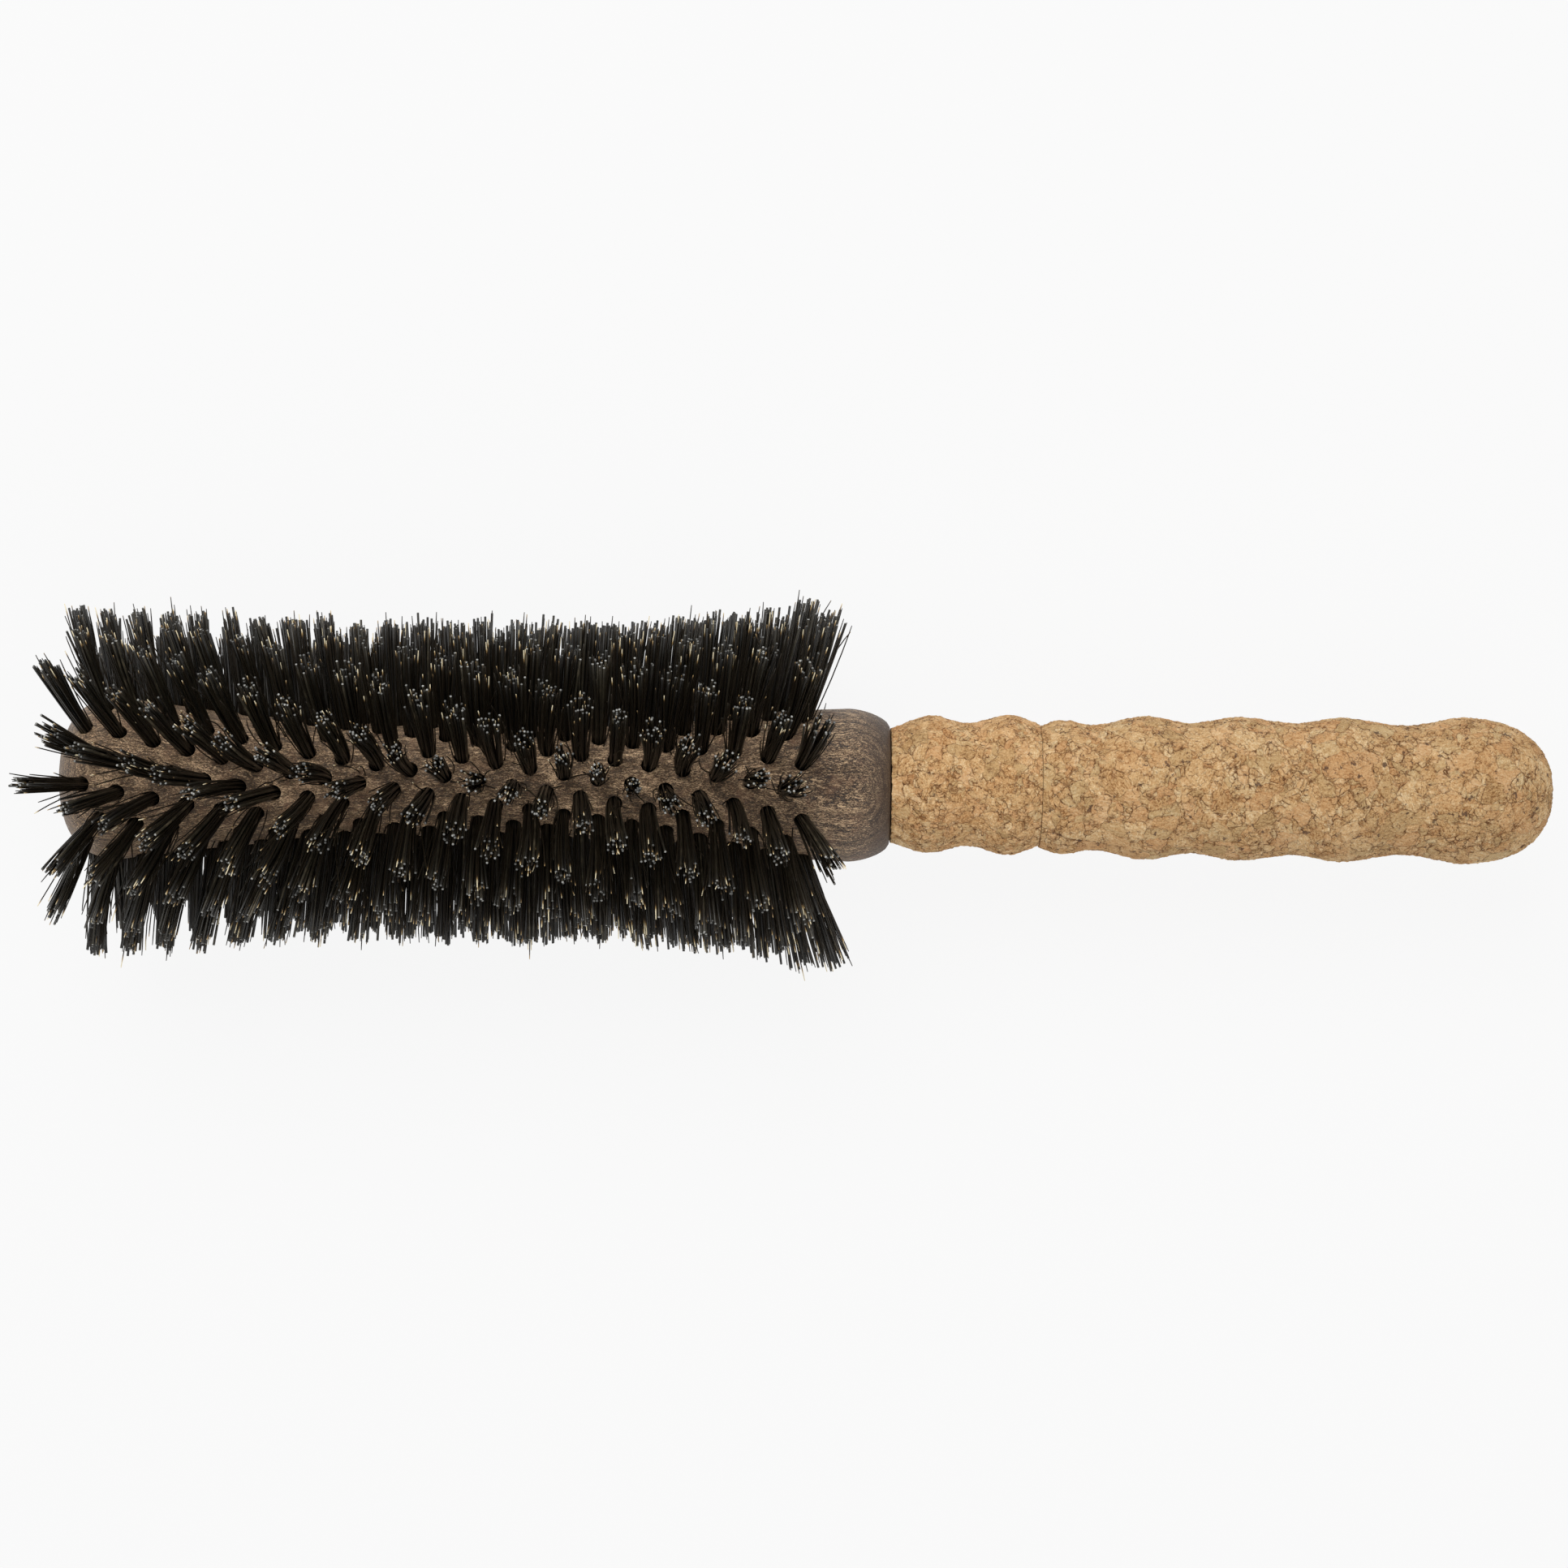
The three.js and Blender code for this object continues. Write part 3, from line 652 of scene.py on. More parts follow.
# %% Roots, bends and tips
# How far the bristles reach: [distance from the wooden tip, radius], in millimetres
TRIM = [(0, 33.6), (12, 33.2), (22, 32.2), (36, 31.0), (50, 30.4),
        (105, 30.3), (120, 31.3), (130, 32.2), (139, 33.7), (150, 35.2)]
FIRST_GUESS = 19 * MM  # of a fibre's length
ROOT_DEPTH = 4 * MM
ROOT_PINCH = 0.9  # a tuft is narrower at its root
TABLE_GAP = 0.3 * MM
TABLE_UNEVEN = 0.5 * MM
# On the far side the first rings are cut a little shorter.
cut_shorter = 1.7 * MM * np.clip(outward[:, 1], 0, 1) * fading(12)


def spread_out(amounts):
    """Moves across the tufts, as points."""
    return amounts[..., :1] * tuft_cross[:, None] + amounts[..., 1:] * sideways[:, None]


def fibres(chosen, opening, loose, bowed, past_trim):
    """Root, bend and tip of the chosen fibres of every tuft. A tuft opens by opening towards its
    tips. loose is how far the tips stray, bowed how far the fibres bend, and past_trim how far
    they reach past the trimmed outline."""
    here = seed_place[:, chosen]
    root = tuft_foot[:, None] - ROOT_DEPTH * tuft_way[:, None] + spread_out(here * ROOT_PINCH)
    splay = here * (opening * tuft_opening)[:, None, None]
    splay = splay + rng.normal(0, 1, here.shape) * np.expand_dims(loose, -1)
    trim_x, trim_radius = np.array(TRIM).T * MM
    foot = foot_radius[:, None]
    reach = foot + FIRST_GUESS
    for _ in range(2):
        tip_x = tuft_x[:, None] + (reach - foot) * np.tan(tuft_lean)[:, None] + splay[..., 0]
        reach = np.interp(tip_x - wood_tip, trim_x, trim_radius)
    length = (reach + past_trim - foot) / np.cos(tuft_lean)[:, None]
    length -= cut_shorter[:, None]
    tip = tuft_foot[:, None] + length[..., None] * tuft_way[:, None] + spread_out(splay)
    stop = TABLE_GAP + rng.uniform(0, TABLE_UNEVEN, tip.shape[:2])
    tip[..., 2] = np.maximum(tip[..., 2], stop)
    bow = tuft_bow + rng.normal(0, 1, here.shape) * np.expand_dims(bowed, -1)
    bend = (root + tip) / 2 + spread_out(bow)
    return root, bend, tip


print(f"trimmed to {min(r for _, r in TRIM)} mm from the axis at the waist")

# %% [markdown]
# ## Quills and boar bristles
# The quills end almost level. The boar bristle is ragged, and a few in each tuft stray: most of those
# are shorter, and they lean out of it. Drawing the lengths by chance gives a natural edge, and a
# fixed seed gives the same brush each time.

# %% Quills
TUFT_UNEVEN = 0.35 * MM  # by which whole tufts differ in length
QUILL_OPENS = 1.26
QUILL_BOW = 0.2 * MM

quill_seeds = seed[::QUILL_EVERY]
quill_shape = (tuft_count, len(quill_seeds))
tuft_uneven = rng.normal(0, TUFT_UNEVEN, (tuft_count, 1))
uneven = rng.normal(0, 1, quill_shape) * (0.75 + 0.55 * mingling[:, None]) * MM + tuft_uneven
quill_loose = (0.42 + 0.42 * mingling[:, None]) * np.full(quill_shape, MM)
quill = fibres(quill_seeds, QUILL_OPENS, quill_loose, np.full(quill_shape, QUILL_BOW), uneven)
print(f"{quill_shape[1]} quills in each tuft")

# %% Boar bristles
STRAY_EVERY = 9
STRAY_LOOSE = 2.0  # millimetres
STRAY_LENGTH = (-11, 1.5)  # the least and the most past the trimmed outline, in millimetres
STRAY_BOW, BOAR_BOW = 1.3, 0.35  # millimetres
BOAR_OPENS = 1.36
SHORTEST_BY_COLLAR = -2.5 * MM  # shorter strays would show there against the table

boar_seeds = np.setdiff1d(seed, quill_seeds)
boar_shape = (tuft_count, len(boar_seeds))
every_ninth = np.arange(len(boar_seeds)) % STRAY_EVERY == 0
stray = rng.permuted(np.broadcast_to(every_ninth, boar_shape), axis=1)
boar_loose = np.where(stray, STRAY_LOOSE, 0.4 + 0.4 * mingling[:, None]) * MM
boar_bowed = np.where(stray, STRAY_BOW, BOAR_BOW) * MM
stray_ends = rng.uniform(*STRAY_LENGTH, boar_shape)
boar_ends = rng.normal(-0.6, 1.3, boar_shape)
boar_uneven = np.where(stray, stray_ends, boar_ends) * MM
by_the_collar = ring_number[:, None] > RING_COUNT - 4
boar_uneven = np.where(by_the_collar, np.maximum(boar_uneven, SHORTEST_BY_COLLAR), boar_uneven)
boar = fibres(boar_seeds, BOAR_OPENS, boar_loose, boar_bowed, boar_uneven + tuft_uneven)
print(f"{boar_shape[1]} boar bristles in each tuft, {stray.sum()} strays in all")

# %% [markdown]
# ## Fibre materials
# Both fibres are nearly black. What tells them apart is the ends: the quills are cut square, and the
# light that their sawn ends catch is painted on them as a pale grey highlight, and the boar tips fade
# to amber. Each fibre has its own tone, kept on the mesh, so that no two neighbours are alike.


# %% Quill material
def own_tone(tree):
    """A value that differs from fibre to fibre."""
    return node(tree, "ShaderNodeAttribute", attribute_name="tone").outputs["Fac"]


quill_black, tree, shader = finish_of("nylon quill")
along_quill = rescale(tree, noise(tree, object_place(tree), 400.0), 0.3, 0.7, 0.6, 1.0)
quill_tone = calculate(tree, "MULTIPLY", own_tone(tree), along_quill)
quill_colours = {0.0: (19, 17, 14), 0.5: (33, 30, 24), 0.8: (54, 49, 38), 1.0: (92, 83, 66)}
tree.links.new(ramp(tree, quill_tone, quill_colours), shader.inputs["Base Color"])
shader.inputs["Roughness"].default_value = 0.32
shader.inputs["Specular IOR Level"].default_value = 0.4
print(f"{quill_black.name}: {len(tree.nodes)} nodes")

# %% Sawn quill end material, a painted highlight
quill_grey, tree, shader = finish_of("sawn quill end highlight")
saw_marks = noise(tree, object_place(tree), 6000.0)
end_highlight_tone = calculate(tree, "ADD", calculate(tree, "MULTIPLY", own_tone(tree), 0.6),
                     calculate(tree, "MULTIPLY", saw_marks, 0.4))
# Painted highlight: these pale greys stand for the light that the flat sawn ends reflect.
end_highlight_colours = {0.0: (42, 42, 40), 0.5: (94, 94, 91), 1.0: (192, 192, 187)}
tree.links.new(ramp(tree, end_highlight_tone, end_highlight_colours), shader.inputs["Base Color"])
shader.inputs["Roughness"].default_value = 0.5
print(f"{quill_grey.name}: {len(tree.nodes)} nodes")

# %% Boar material
AMBER_SHARE = 0.07  # of a bristle's length, over which it turns amber

boar_brown, tree, shader = finish_of("boar bristle")
along = node(tree, "ShaderNodeAttribute", attribute_name="along").outputs["Fac"]
amber_from = calculate(tree, "SUBTRACT", rescale(tree, own_tone(tree), 0.42, 0.9, 1.0, 0.92),
                       rescale(tree, own_tone(tree), 0.88, 1.0, 0.0, 0.07))
amber = calculate(tree, "SUBTRACT", along, amber_from)
amber = calculate(tree, "DIVIDE", amber, AMBER_SHARE, clamp=True)
boar_colours = {0.0: (35, 29, 20), 0.3: (72, 55, 36), 0.65: (170, 140, 92), 1.0: (240, 226, 190)}
tree.links.new(ramp(tree, amber, boar_colours), shader.inputs["Base Color"])
shader.inputs["Roughness"].default_value = 0.42
shader.inputs["Specular IOR Level"].default_value = 0.3
print(f"{boar_brown.name}: {len(tree.nodes)} nodes")

# %% [markdown]
# ## Bristle pieces
# Fifteen thousand tubes in one mesh are slow to edit, and the CAD model has four bands, so each
# band gets two meshes: its quills and its boar bristles. Both stand for the same CAD band. The rim of
# a sawn end is rounded by one small ring of faces, which is enough to catch the light.


# %% Bristle pieces
def keep_values(mesh, name, values):
    """Keeps one value for each corner, where materials and modifiers find it by name."""
    kept = mesh.attributes.new(name, "FLOAT", "POINT")
    kept.data.foreach_set("value", values.astype(np.float32).ravel())


def bristle_piece(name, node_name, lines, shares, radii, sides, end_rise, materials):
    """One band's fibres of one kind, as a piece that stands for its CAD band."""
    mesh = fibre_mesh(name, lines, radii, sides, end_rise)
    count, points, _ = lines.shape
    corners = points * sides + 2
    tone = np.repeat(rng.uniform(0, 1, count), corners)
    share = np.concatenate([[0], np.repeat(shares, sides), [1]])
    keep_values(mesh, "tone", tone)
    keep_values(mesh, "along", np.tile(share, count))
    for material in materials:
        mesh.materials.append(material)
    piece = bpy.data.objects.new(name, mesh)
    bpy.context.scene.collection.objects.link(piece)
    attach(piece, "barrel")
    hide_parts(node_name)
    return piece


def fibres_of(kind, rings):
    """The root, bend and tip of one kind, for the tufts of some rings."""
    chosen = np.isin(ring_number, rings)
    return [points[chosen].reshape(-1, 3) for points in kind]


print(f"{len(band_nodes)} bands to dress")


# %% Quill and boar pieces of each band
QUILL_SHARES = [0, 0.25, 0.5, 0.75, 1]
BOAR_SHARES = [0, 0.3, 0.55, 0.78, 0.93, 1]
BOAR_TAPER = [1, 1, 0.98, 0.94, 0.85, 0.6]
QUILL_SIDES = 6
BOAR_SIDES = 5
CHAMFER = 0.06 * MM  # the edge of a sawn quill end
CHAMFER_RADIUS = 0.8  # as a share of the quill's
BOAR_POINT = 0.04 * MM

rings_per_band = math.ceil(RING_COUNT / len(band_nodes))
for band, node_name in enumerate(band_nodes):
    rings = range(band * rings_per_band, (band + 1) * rings_per_band)
    shafts = fibre_lines(*fibres_of(quill, rings), QUILL_SHARES)
    end_way = shafts[:, -1] - shafts[:, -2]
    end_way /= np.linalg.norm(end_way, axis=1, keepdims=True)
    shafts = np.concatenate([shafts, shafts[:, -1:] + end_way[:, None] * CHAMFER], axis=1)
    quill_radii = np.array([1.0] * len(QUILL_SHARES) + [CHAMFER_RADIUS]) * QUILL_RADIUS
    quills = bristle_piece(f"quills_{band + 1}", node_name, shafts, [*QUILL_SHARES, 1], quill_radii,
                           QUILL_SIDES, CHAMFER / 2, [quill_black, quill_grey])
    # The faces come in the order walls, roots, ends; the last wall of each shaft is its chamfer.
    count = len(shafts)
    wall_faces = len(QUILL_SHARES) * QUILL_SIDES
    is_chamfer = np.tile(np.arange(wall_faces) >= wall_faces - QUILL_SIDES, count)
    is_end = np.concatenate([is_chamfer, np.zeros(count * QUILL_SIDES), np.ones(count * QUILL_SIDES)])
    quills.data.polygons.foreach_set("material_index", is_end.astype(int))

    hairs = fibre_lines(*fibres_of(boar, rings), BOAR_SHARES)
    boar_radii = np.array(BOAR_TAPER) * BOAR_RADIUS
    bristle_piece(f"boar_{band + 1}", node_name, hairs, BOAR_SHARES, boar_radii,
                  BOAR_SIDES, BOAR_POINT, [boar_brown])

# %% [markdown]
# ## Cork
# Both cork pieces are pressed from crumbs of cork, fine in the short front piece and coarse in the
# grip. Each crumb has its own tint and its own direction of cells, and dark seams run between them.
# Voronoi cells give the crumbs. The same nodes run twice: in the shader for colour, and in a
# geometry nodes modifier that sinks the seams into the mesh, so that colour and relief agree.


# %% Crumbs of cork, for shader and mesh alike
def shaken(tree, place, scale, amount, detail=2.0):
    """The place, moved about by noise of some scale."""
    cloud = noise(tree, place, scale, detail, output="Color")
    shake = move_point(tree, "SUBTRACT", cloud, (0.5, 0.5, 0.5))
    shake = move_point(tree, "MULTIPLY", shake, (amount,) * 3)
    return move_point(tree, "ADD", place, shake)


SMALL_CRUMB = 0.45  # as a share of a large one
BROKEN_FROM = 0.52  # large crumbs whose random value is above this are broken into small ones


def choose(tree, which, first, second):
    """The first value where which is 0, and the second where it is 1."""
    return node(tree, "ShaderNodeMix", {0: which, 2: first, 3: second}).outputs[0]


def cork_crumbs(tree, place, crumb):
    """The distance to the nearest seam in metres, and two random values for each crumb."""
    bent = shaken(tree, place, 0.9 / crumb, crumb * 0.9)
    bent = shaken(tree, bent, 6 / crumb, crumb * 0.13, 4.0)

    def cells(size, feature, output):
        inputs = {"Vector": bent, "Scale": 1 / size}
        return node(tree, "ShaderNodeTexVoronoi", inputs, feature=feature).outputs[output]

    small = crumb * SMALL_CRUMB
    coarse_seam = calculate(tree, "MULTIPLY", cells(crumb, "DISTANCE_TO_EDGE", "Distance"), crumb)
    fine_seam = calculate(tree, "MULTIPLY", cells(small, "DISTANCE_TO_EDGE", "Distance"), small)
    coarse = node(tree, "ShaderNodeSeparateXYZ", {0: cells(crumb, "F1", "Color")}).outputs
    fine = node(tree, "ShaderNodeSeparateXYZ", {0: cells(small, "F1", "Color")}).outputs
    broken = calculate(tree, "GREATER_THAN", coarse[0], BROKEN_FROM)
    seam = choose(tree, broken, coarse_seam, calculate(tree, "MINIMUM", coarse_seam, fine_seam))
    tint = choose(tree, broken, coarse[1], fine[1])
    lie = choose(tree, broken, coarse[2], fine[2])
    return seam, tint, lie


def open_seams(tree, place, crumb):
    """How far the seams gape: most are pressed shut, and short stretches are torn open."""
    stretches = rescale(tree, noise(tree, place, 1.8 / crumb, 3.0, 0.65), 0.4, 0.6, 0.1, 1.0)
    nicks = rescale(tree, noise(tree, place, 1900.0), 0.4, 0.56, 0.4, 1.0)
    return calculate(tree, "MULTIPLY", stretches, nicks)


print(f"small crumbs are {SMALL_CRUMB} times as wide as large ones")

# %% [markdown]
# ## Colour of the cork
# Inside each crumb the rows of cells lie their own way, so the tone follows the crumb's tint, its
# rows, fine flakes and wide soft patches. Over it come the seams: a brown shade beside them, a thin
# dark line in them, fine cracks, and bits of dark bark. One noise would look like stone. It is the
# crumbs' sharp borders with soft tones inside that read as cork.


# %% Cork material
CRACK_SIZE = 0.9 * MM  # of the pieces between cracks
CORK_BUMP = 0.24 * MM
DARKENING_LENGTH = 80 * MM  # over which the grip darkens
DARKENED_TINT = (0.89, 0.905, 0.915)

washer_low, washer_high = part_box("thrust_washer")
seam_x = (washer_low.x + washer_high.x) / 2  # where the two cork pieces meet


def laid_over(tree, colour, amount, other):
    """Lays some amount of another colour over a colour."""
    return mixed(tree, amount, colour, linear(*other))


def crumb_tone(tree, place, crumb, tint, lie):
    """How light the cork is, and the flakes and rows of cells that its relief shares."""
    # Rows of cells inside a crumb, turned its own way.
    turn = {"Vector": place, "Axis": (0.6, 0.5, 0.62), "Angle": calculate(tree, "MULTIPLY", lie, 9.0)}
    turned_place = node(tree, "ShaderNodeVectorRotate", turn).outputs[0]
    rows = noise(tree, move_point(tree, "MULTIPLY", turned_place, (700, 700, 4200)), 1.0, 3.0, 0.75)
    flakes = noise(tree, place, 2500.0, 4.0, 0.85)
    patches = noise(tree, place, 1.1 / crumb)
    tone = calculate(tree, "MULTIPLY", tint, 0.34)
    tone = calculate(tree, "ADD", tone, rescale(tree, rows, 0.34, 0.66, -0.02, 0.44))
    tone = calculate(tree, "ADD", tone, rescale(tree, flakes, 0.37, 0.63, -0.1, 0.5))
    tone = calculate(tree, "ADD", tone, rescale(tree, patches, 0.3, 0.7, -0.17, 0.1))
    return tone, flakes, rows


def fine_cracks(tree, place):
    """Short fine cracks inside the crumbs."""
    crack_place = shaken(tree, place, 1 / CRACK_SIZE, CRACK_SIZE * 0.7, 3.0)
    inputs = {"Vector": crack_place, "Scale": 1 / CRACK_SIZE}
    crack = node(tree, "ShaderNodeTexVoronoi", inputs, feature="DISTANCE_TO_EDGE").outputs["Distance"]
    cracked = rescale(tree, noise(tree, place, 700.0), 0.55, 0.6)
    return calculate(tree, "MULTIPLY", rescale(tree, crack, 0.03, 0.1, 0.6, 0.0), cracked)


def cork_finish(name, crumb, bark_from):
    """Cork of some crumb size. The lower bark_from is, the more bark shows."""
    material, tree, shader = finish_of(name)
    place = object_place(tree)
    seam, tint, lie = cork_crumbs(tree, place, crumb)
    gape = open_seams(tree, place, crumb)
    tone, flakes, rows = crumb_tone(tree, place, crumb, tint, lie)
    colour = ramp(tree, tone, {0.0: (138, 90, 47), 0.22: (185, 138, 87), 0.45: (214, 169, 116),
                               0.7: (227, 187, 135), 1.0: (247, 218, 172)})
    # Some crumbs are pinker and some more olive.
    colour = laid_over(tree, colour, rescale(tree, lie, 0.6, 0.95, 0.0, 0.32), (212, 152, 102))
    colour = laid_over(tree, colour, rescale(tree, lie, 0.3, 0.05, 0.0, 0.34), (180, 156, 110))
    # A brown shade beside the seams, thin dark lines in them, and dark bark where they gape most.
    shade = calculate(tree, "MULTIPLY", rescale(tree, seam, 0.0, 0.26 * MM, 0.42, 0.0), gape)
    colour = laid_over(tree, colour, shade, (150, 100, 54))
    line_width = 0.06 * MM + crumb * 0.012
    line = calculate(tree, "MULTIPLY", rescale(tree, seam, line_width / 3, line_width, 1.0, 0.0), gape)
    colour = laid_over(tree, colour, line, (104, 64, 33))
    cracks = fine_cracks(tree, place)
    colour = laid_over(tree, colour, cracks, (122, 78, 42))
    bark = rescale(tree, noise(tree, place, 520.0, 4.0, 0.65), bark_from, bark_from + 0.035, 0.0, 0.8)
    colour = laid_over(tree, colour, bark, (80, 54, 46))
    # The grip is made a little darker from the seam onwards, most of all towards its end.
    along = along_x(tree, place)
    darkening = calculate(tree, "ADD", rescale(tree, along, seam_x - MM, seam_x, 0.0, 0.5),
                        rescale(tree, along, seam_x, seam_x + DARKENING_LENGTH, 0.0, 0.5))
    colour = mixed(tree, darkening, colour, move_point(tree, "MULTIPLY", colour, DARKENED_TINT))
    tree.links.new(colour, shader.inputs["Base Color"])
    shader.inputs["Roughness"].default_value = 0.86
    shader.inputs["Specular IOR Level"].default_value = 0.25

    relief = calculate(tree, "MULTIPLY", rescale(tree, seam, 0.0, 0.2 * MM, 0.0, 1.0), gape)
    relief = calculate(tree, "ADD", relief, flakes)
    relief = calculate(tree, "ADD", relief, rows)
    relief = calculate(tree, "SUBTRACT", relief, calculate(tree, "MULTIPLY", cracks, 0.6))
    bump = node(tree, "ShaderNodeBump", {"Height": relief, "Strength": 1.0, "Distance": CORK_BUMP})
    tree.links.new(bump.outputs[0], shader.inputs["Normal"])
    print(f"{name}: {len(tree.nodes)} nodes")
    return material


# %% [markdown]
# ## Relief of the cork
# Seams that only a bump map shows leave a smooth edge against the light, so the widest ones are sunk
# into the mesh as well. A geometry nodes modifier moves each corner along its normal by the same
# crumbs as the colour. Displacement in the shader could do it too, but the exported mesh would
# lose it. Only the skin is marked for it, and the bore stays true.


# %% Cork relief
SEAM_SLOPE = 0.4 * MM  # over which the skin falls towards a seam
ON_SKIN = 0.01 * MM


def sink_seams(piece, crumb, depth):
    """Sinks the seams between crumbs into the skin of a cork piece, and roughens it."""
    tree = bpy.data.node_groups.new(f"{piece.name} relief", "GeometryNodeTree")
    tree.interface.new_socket("Geometry", in_out="INPUT", socket_type="NodeSocketGeometry")
    tree.interface.new_socket("Geometry", in_out="OUTPUT", socket_type="NodeSocketGeometry")
    came_in = tree.nodes.new("NodeGroupInput")
    going_out = tree.nodes.new("NodeGroupOutput")
    place = node(tree, "GeometryNodeInputPosition").outputs[0]
    facing = node(tree, "GeometryNodeInputNormal").outputs[0]
    marked = node(tree, "GeometryNodeInputNamedAttribute", {"Name": "skin"}, data_type="FLOAT")
    seam, tint, _ = cork_crumbs(tree, place, crumb)
    gape = open_seams(tree, place, crumb)
    sunk = calculate(tree, "MULTIPLY", rescale(tree, seam, 0.0, SEAM_SLOPE, 1.0, 0.0, smooth=True), gape)
    uneven = calculate(tree, "ADD", sunk, calculate(tree, "MULTIPLY", tint, 0.3))
    rough = rescale(tree, noise(tree, place, 1000.0, 2.0, 0.7), 0.3, 0.7, -1.3, 1.3)
    uneven = calculate(tree, "SUBTRACT", calculate(tree, "ADD", uneven, rough), 0.4)
    pushed = calculate(tree, "MULTIPLY", uneven, -depth)
    pushed = calculate(tree, "MULTIPLY", pushed, marked.outputs["Attribute"])
    offset = move_point(tree, "SCALE", facing)
    tree.links.new(pushed, offset.node.inputs["Scale"])
    moved = node(tree, "GeometryNodeSetPosition", {"Geometry": came_in.outputs[0], "Offset": offset})
    tree.links.new(moved.outputs[0], going_out.inputs[0])
    piece.modifiers.new("relief", "NODES").node_group = tree


def mark_skin(piece, outline):
    """Marks the corners on the outside of a turned piece, which are the ones that get relief."""
    x, radius = corners_of(piece.data)
    on_line = np.abs(radius - np.interp(x, *outline.T)) < ON_SKIN
    within = (x > outline[0, 0] - ON_SKIN) & (x < outline[-1, 0] + ON_SKIN)
    keep_values(piece.data, "skin", (on_line & within).astype(float))
    print(f"{piece.name}: {(on_line & within).sum()} of {len(x)} corners are skin")


# %% [markdown]
# ## The two cork pieces and the washer between them
# Each cork piece is turned from its CAD outline, with the bore that the CAD gives it. A thin fibre
# washer lets the grip turn against the front piece. It sits below the skin, and the rims of the cork
# close over it to a hairline. The front piece sits slightly off centre on the real brush, which shows
# as a small step at the seam, so its skin is shifted while its bore stays true. Both pieces could be
# one mesh with a groove, but then the grip could not turn.

# %% Front cork
CORK_SIDES = 256
CORK_SPACING = 0.32 * MM  # between the points of the outline
CORK_HOLLOW = 8 * MM  # corners nearer to the axis than this belong to the bore
FRONT_CRUMB = 2.7 * MM
FRONT_RELIEF = 0.13 * MM
FRONT_SHIFT = 0.35 * MM  # towards the far side
SHIFT_SHARE = 0.25  # of the piece's length, over which the shift grows
SEAM_GAP = 0.08 * MM
RIM_DEPTH = 0.09 * MM  # how far the edges of the rims are rounded down
LIP_RADIUS = 11.25 * MM  # inside of the rims


def bore_of(node_name):
    """The radius of a CAD node's bore."""
    return corners_of(frame["nodes"][node_name].data)[1].min()


front_low, front_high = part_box("front_cork")
front_bore = bore_of("front_cork")
front_outline = outside_of(["front_cork"], front_low.x, front_high.x, CORK_HOLLOW)
front_line = smooth_line(front_outline, CORK_SPACING)
front_rim = seam_x - SEAM_GAP / 2
front_profile = [
    *front_line,
    (front_rim, front_line[-1, 1] - RIM_DEPTH),
    (front_rim, LIP_RADIUS),
    (front_high.x, LIP_RADIUS),
    (front_high.x, front_bore),
    (front_low.x, front_bore),
]
front_cork = turned("cork_front", front_profile, CORK_SIDES, closed=True)
mark_skin(front_cork, front_line)
for vertex in front_cork.data.vertices:
    from_axis = math.hypot(vertex.co.y, vertex.co.z - axis_height)
    if from_axis > front_bore + MM:
        share = (vertex.co.x - front_low.x) / (front_high.x - front_low.x)
        vertex.co.y += FRONT_SHIFT * min(1, share / SHIFT_SHARE)
sink_seams(front_cork, FRONT_CRUMB, FRONT_RELIEF)

# %% Grip
GRIP_CRUMB = 3.9 * MM
GRIP_RELIEF = 0.15 * MM
GLUE_GAP = 0.3 * MM

grip_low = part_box("cork_grip")[0]
sleeve_low, sleeve_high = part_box("bearing_sleeve")
bore = sleeve_high.z - axis_height + GLUE_GAP
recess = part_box("front_bush")[1].z - axis_height + GLUE_GAP
recess_end = sleeve_low.x - GLUE_GAP / 2
bore_end = sleeve_high.x + GLUE_GAP
grip_outline = outside_of(["cork_grip"], grip_low.x, bore_end + MM, CORK_HOLLOW)
grip_line = smooth_line(grip_outline, CORK_SPACING)
grip_rim = seam_x + SEAM_GAP / 2
grip_profile = [
    (bore_end, 0),
    (bore_end, bore),
    (recess_end, bore),
    (recess_end, recess),
    (grip_low.x, recess),
    (grip_low.x, LIP_RADIUS),
    (grip_rim, LIP_RADIUS),
    (grip_rim, grip_line[0, 1] - RIM_DEPTH),
    *grip_line,
]
cork_grip = turned("cork_handle", grip_profile, CORK_SIDES)
mark_skin(cork_grip, grip_line)
sink_seams(cork_grip, GRIP_CRUMB, GRIP_RELIEF)

# %% Washer in the seam
WASHER_RADIUS = 10.7 * MM
WASHER_SIDES = 96

washer_bore = bore_of("thrust_washer")
washer_profile = [
    (washer_low.x, washer_bore),
    (washer_low.x, WASHER_RADIUS),
    (washer_high.x, WASHER_RADIUS),
    (washer_high.x, washer_bore),
]
washer = turned("seam_washer", washer_profile, WASHER_SIDES, closed=True)
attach(washer, "barrel")
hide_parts("thrust_washer")

# %% Cork pieces on their bodies
CORK_SHARP = math.radians(70)  # the rims are sharper than this, and the crumbs are not

for piece, node_name, body, slot, crumb, bark_from in (
    (front_cork, "front_cork", "barrel", "fine_cork", FRONT_CRUMB, 0.66),
    (cork_grip, "cork_grip", "grip", "coarse_cork", GRIP_CRUMB, 0.624),
):
    apply_modifiers(piece)
    piece.data.shade_smooth()
    piece.data.set_sharp_from_angle(angle=CORK_SHARP)
    piece.data.materials.append(cork_finish(slot.replace("_", " "), crumb, bark_from))
    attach(piece, body)
    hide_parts(node_name)
    print(f"{piece.name}: {len(piece.data.polygons)} faces")

# %% [markdown]
# ## Swivel
# The spindle, its washers and ring, the bushes and the sleeve are hidden in the handle. Their CAD
# shapes are right as they are, so they keep them and only get a better finish. Drawn and turned
# metal shows fine lines, which noise gives when it is stretched in one direction.


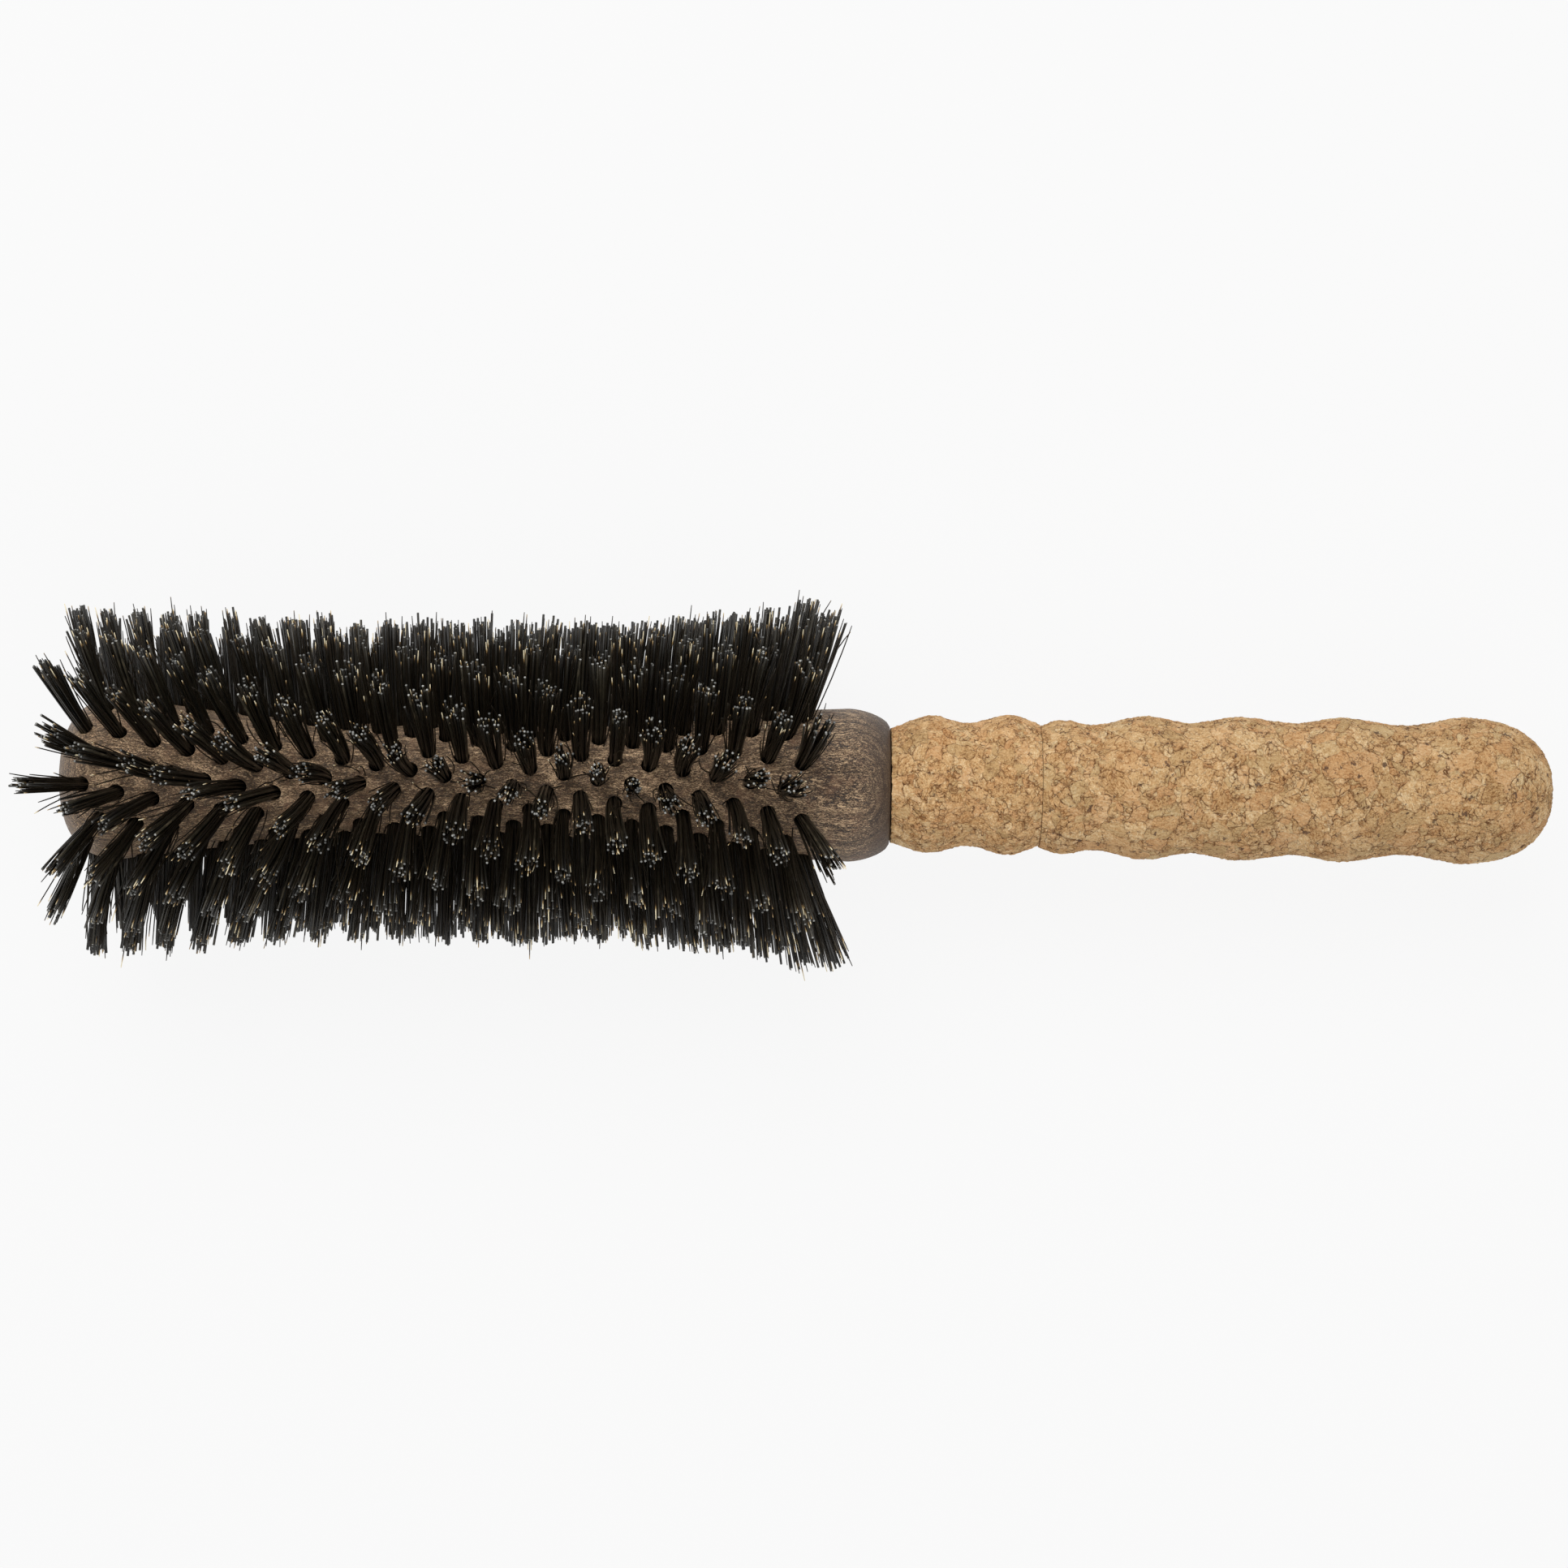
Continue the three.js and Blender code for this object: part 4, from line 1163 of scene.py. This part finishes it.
# %% Finishes of metal, plastic and fibre
def metal_finish(name, colour, roughness, streak_scale):
    """Drawn or turned metal: fine lines that run round it."""
    material, tree, shader = finish_of(name)
    streak_place = move_point(tree, "MULTIPLY", object_place(tree), streak_scale)
    streaks = noise(tree, streak_place, 1.0)
    darker = tuple(c * 0.8 for c in colour)
    tree.links.new(ramp(tree, streaks, {0.3: darker, 0.7: colour}), shader.inputs["Base Color"])
    duller = rescale(tree, streaks, 0.3, 0.7, roughness + 0.08, roughness)
    tree.links.new(duller, shader.inputs["Roughness"])
    shader.inputs["Metallic"].default_value = 1.0
    print(f"{name}: {len(tree.nodes)} nodes")
    return material


def matt_finish(name, colour, roughness, grain):
    """Moulded plastic or pressed fibre: a faint mottle and a fine grain."""
    material, tree, shader = finish_of(name)
    mottle = noise(tree, object_place(tree), grain, 3.0)
    darker = tuple(c * 0.78 for c in colour)
    tree.links.new(ramp(tree, mottle, {0.3: darker, 0.7: colour}), shader.inputs["Base Color"])
    shader.inputs["Roughness"].default_value = roughness
    bump = node(tree, "ShaderNodeBump", {"Height": mottle, "Strength": 0.3, "Distance": 0.03 * MM})
    tree.links.new(bump.outputs[0], shader.inputs["Normal"])
    print(f"{name}: {len(tree.nodes)} nodes")
    return material


# %% Finished parts of the swivel
steel = metal_finish("spindle steel", (188, 190, 193), 0.28, (9000, 300, 300))
spring = metal_finish("spring steel", (143, 146, 150), 0.35, (300, 5000, 5000))
aluminium = metal_finish("sleeve aluminium", (200, 202, 205), 0.33, (9000, 400, 400))
bush_plastic = matt_finish("bush plastic", (228, 225, 216), 0.45, 700.0)
fibre = matt_finish("dark fibre", (44, 36, 31), 0.8, 2400.0)
for node_name, material in {
    "spindle": steel,
    "retaining_washer": steel,
    "retaining_ring": spring,
    "bearing_sleeve": aluminium,
    "front_bush": bush_plastic,
    "rear_bush": bush_plastic,
}.items():
    frame["nodes"][node_name].data.materials.clear()
    frame["nodes"][node_name].data.materials.append(material)
washer.data.materials.append(fibre)

# %% [markdown]
# ## Table
# The photograph has a plain near-white ground with a faint shadow. The table is pale in itself, and
# what the camera sees of it is mostly fixed to that white: brighter lamps would whiten the ground
# too, but they would wash out the brush as well.

# %% Table
GROUND = linear(249, 249, 249)
SHADOW_LEFT = 0.06  # share of the table's own shading that the camera sees
TABLE_SIDE = 40

bpy.ops.mesh.primitive_plane_add(size=TABLE_SIDE, location=(0, 0, 0))
table = bpy.context.object
table.name = "table"
table_white, tree, shader = finish_of("table")
shader.inputs["Base Color"].default_value = GROUND
shader.inputs["Roughness"].default_value = 0.9
shader.inputs["Specular IOR Level"].default_value = 0.0
seen = node(tree, "ShaderNodeLightPath").outputs["Is Camera Ray"]
glow = node(tree, "ShaderNodeEmission", {"Color": GROUND, "Strength": 1.0})
glow_share = calculate(tree, "MULTIPLY", seen, 1 - SHADOW_LEFT)
both = node(tree, "ShaderNodeMixShader", {0: glow_share, 2: glow.outputs[0]})
tree.links.new(shader.outputs[0], both.inputs[1])
tree.links.new(both.outputs[0], tree.nodes["Material Output"].inputs["Surface"])
table.data.materials.append(table_white)
print(f"table {TABLE_SIDE} m wide")

# %% [markdown]
# ## Light
# The photograph has soft light that comes a little from the far side. Even light from all round keeps
# the shadows soft, a wide lamp from the far side gives the cork its roundness, and a weaker one opens
# the near side. One small strong lamp would draw hard shadows between the tufts. The camera and
# mirror-like surfaces see the world as white.

# %% Light
WORLD_LEVEL = 0.65
world = bpy.data.worlds.new("studio")
bpy.context.scene.world = world
world.use_nodes = True
tree = world.node_tree
rays = node(tree, "ShaderNodeLightPath").outputs
mirrored = calculate(tree, "MAXIMUM", rays["Is Glossy Ray"], rays["Is Transmission Ray"])
shows = calculate(tree, "MAXIMUM", rays["Is Camera Ray"], mirrored)
level = rescale(tree, shows, 0.0, 1.0, WORLD_LEVEL, 1.0)
tree.links.new(level, tree.nodes["Background"].inputs["Strength"])
tree.nodes["Background"].inputs["Color"].default_value = GROUND


def softbox(name, place, size, power):
    """A square area lamp that faces the brush."""
    lamp = bpy.data.lights.new(name, "AREA")
    lamp.size = size
    lamp.energy = power
    lamp_object = bpy.data.objects.new(name, lamp)
    lamp_object.location = place
    towards = Vector((0, 0, axis_height)) - Vector(place)
    lamp_object.rotation_euler = towards.to_track_quat("-Z", "Y").to_euler()
    bpy.context.scene.collection.objects.link(lamp_object)
    print(f"{name}: {power} W, {size} m wide")


softbox("key", (-0.2, 0.55, 0.95), 0.7, 7.0)
softbox("fill", (0.2, -0.5, 0.95), 0.7, 1.5)
bpy.context.scene.view_settings.view_transform = "Standard"
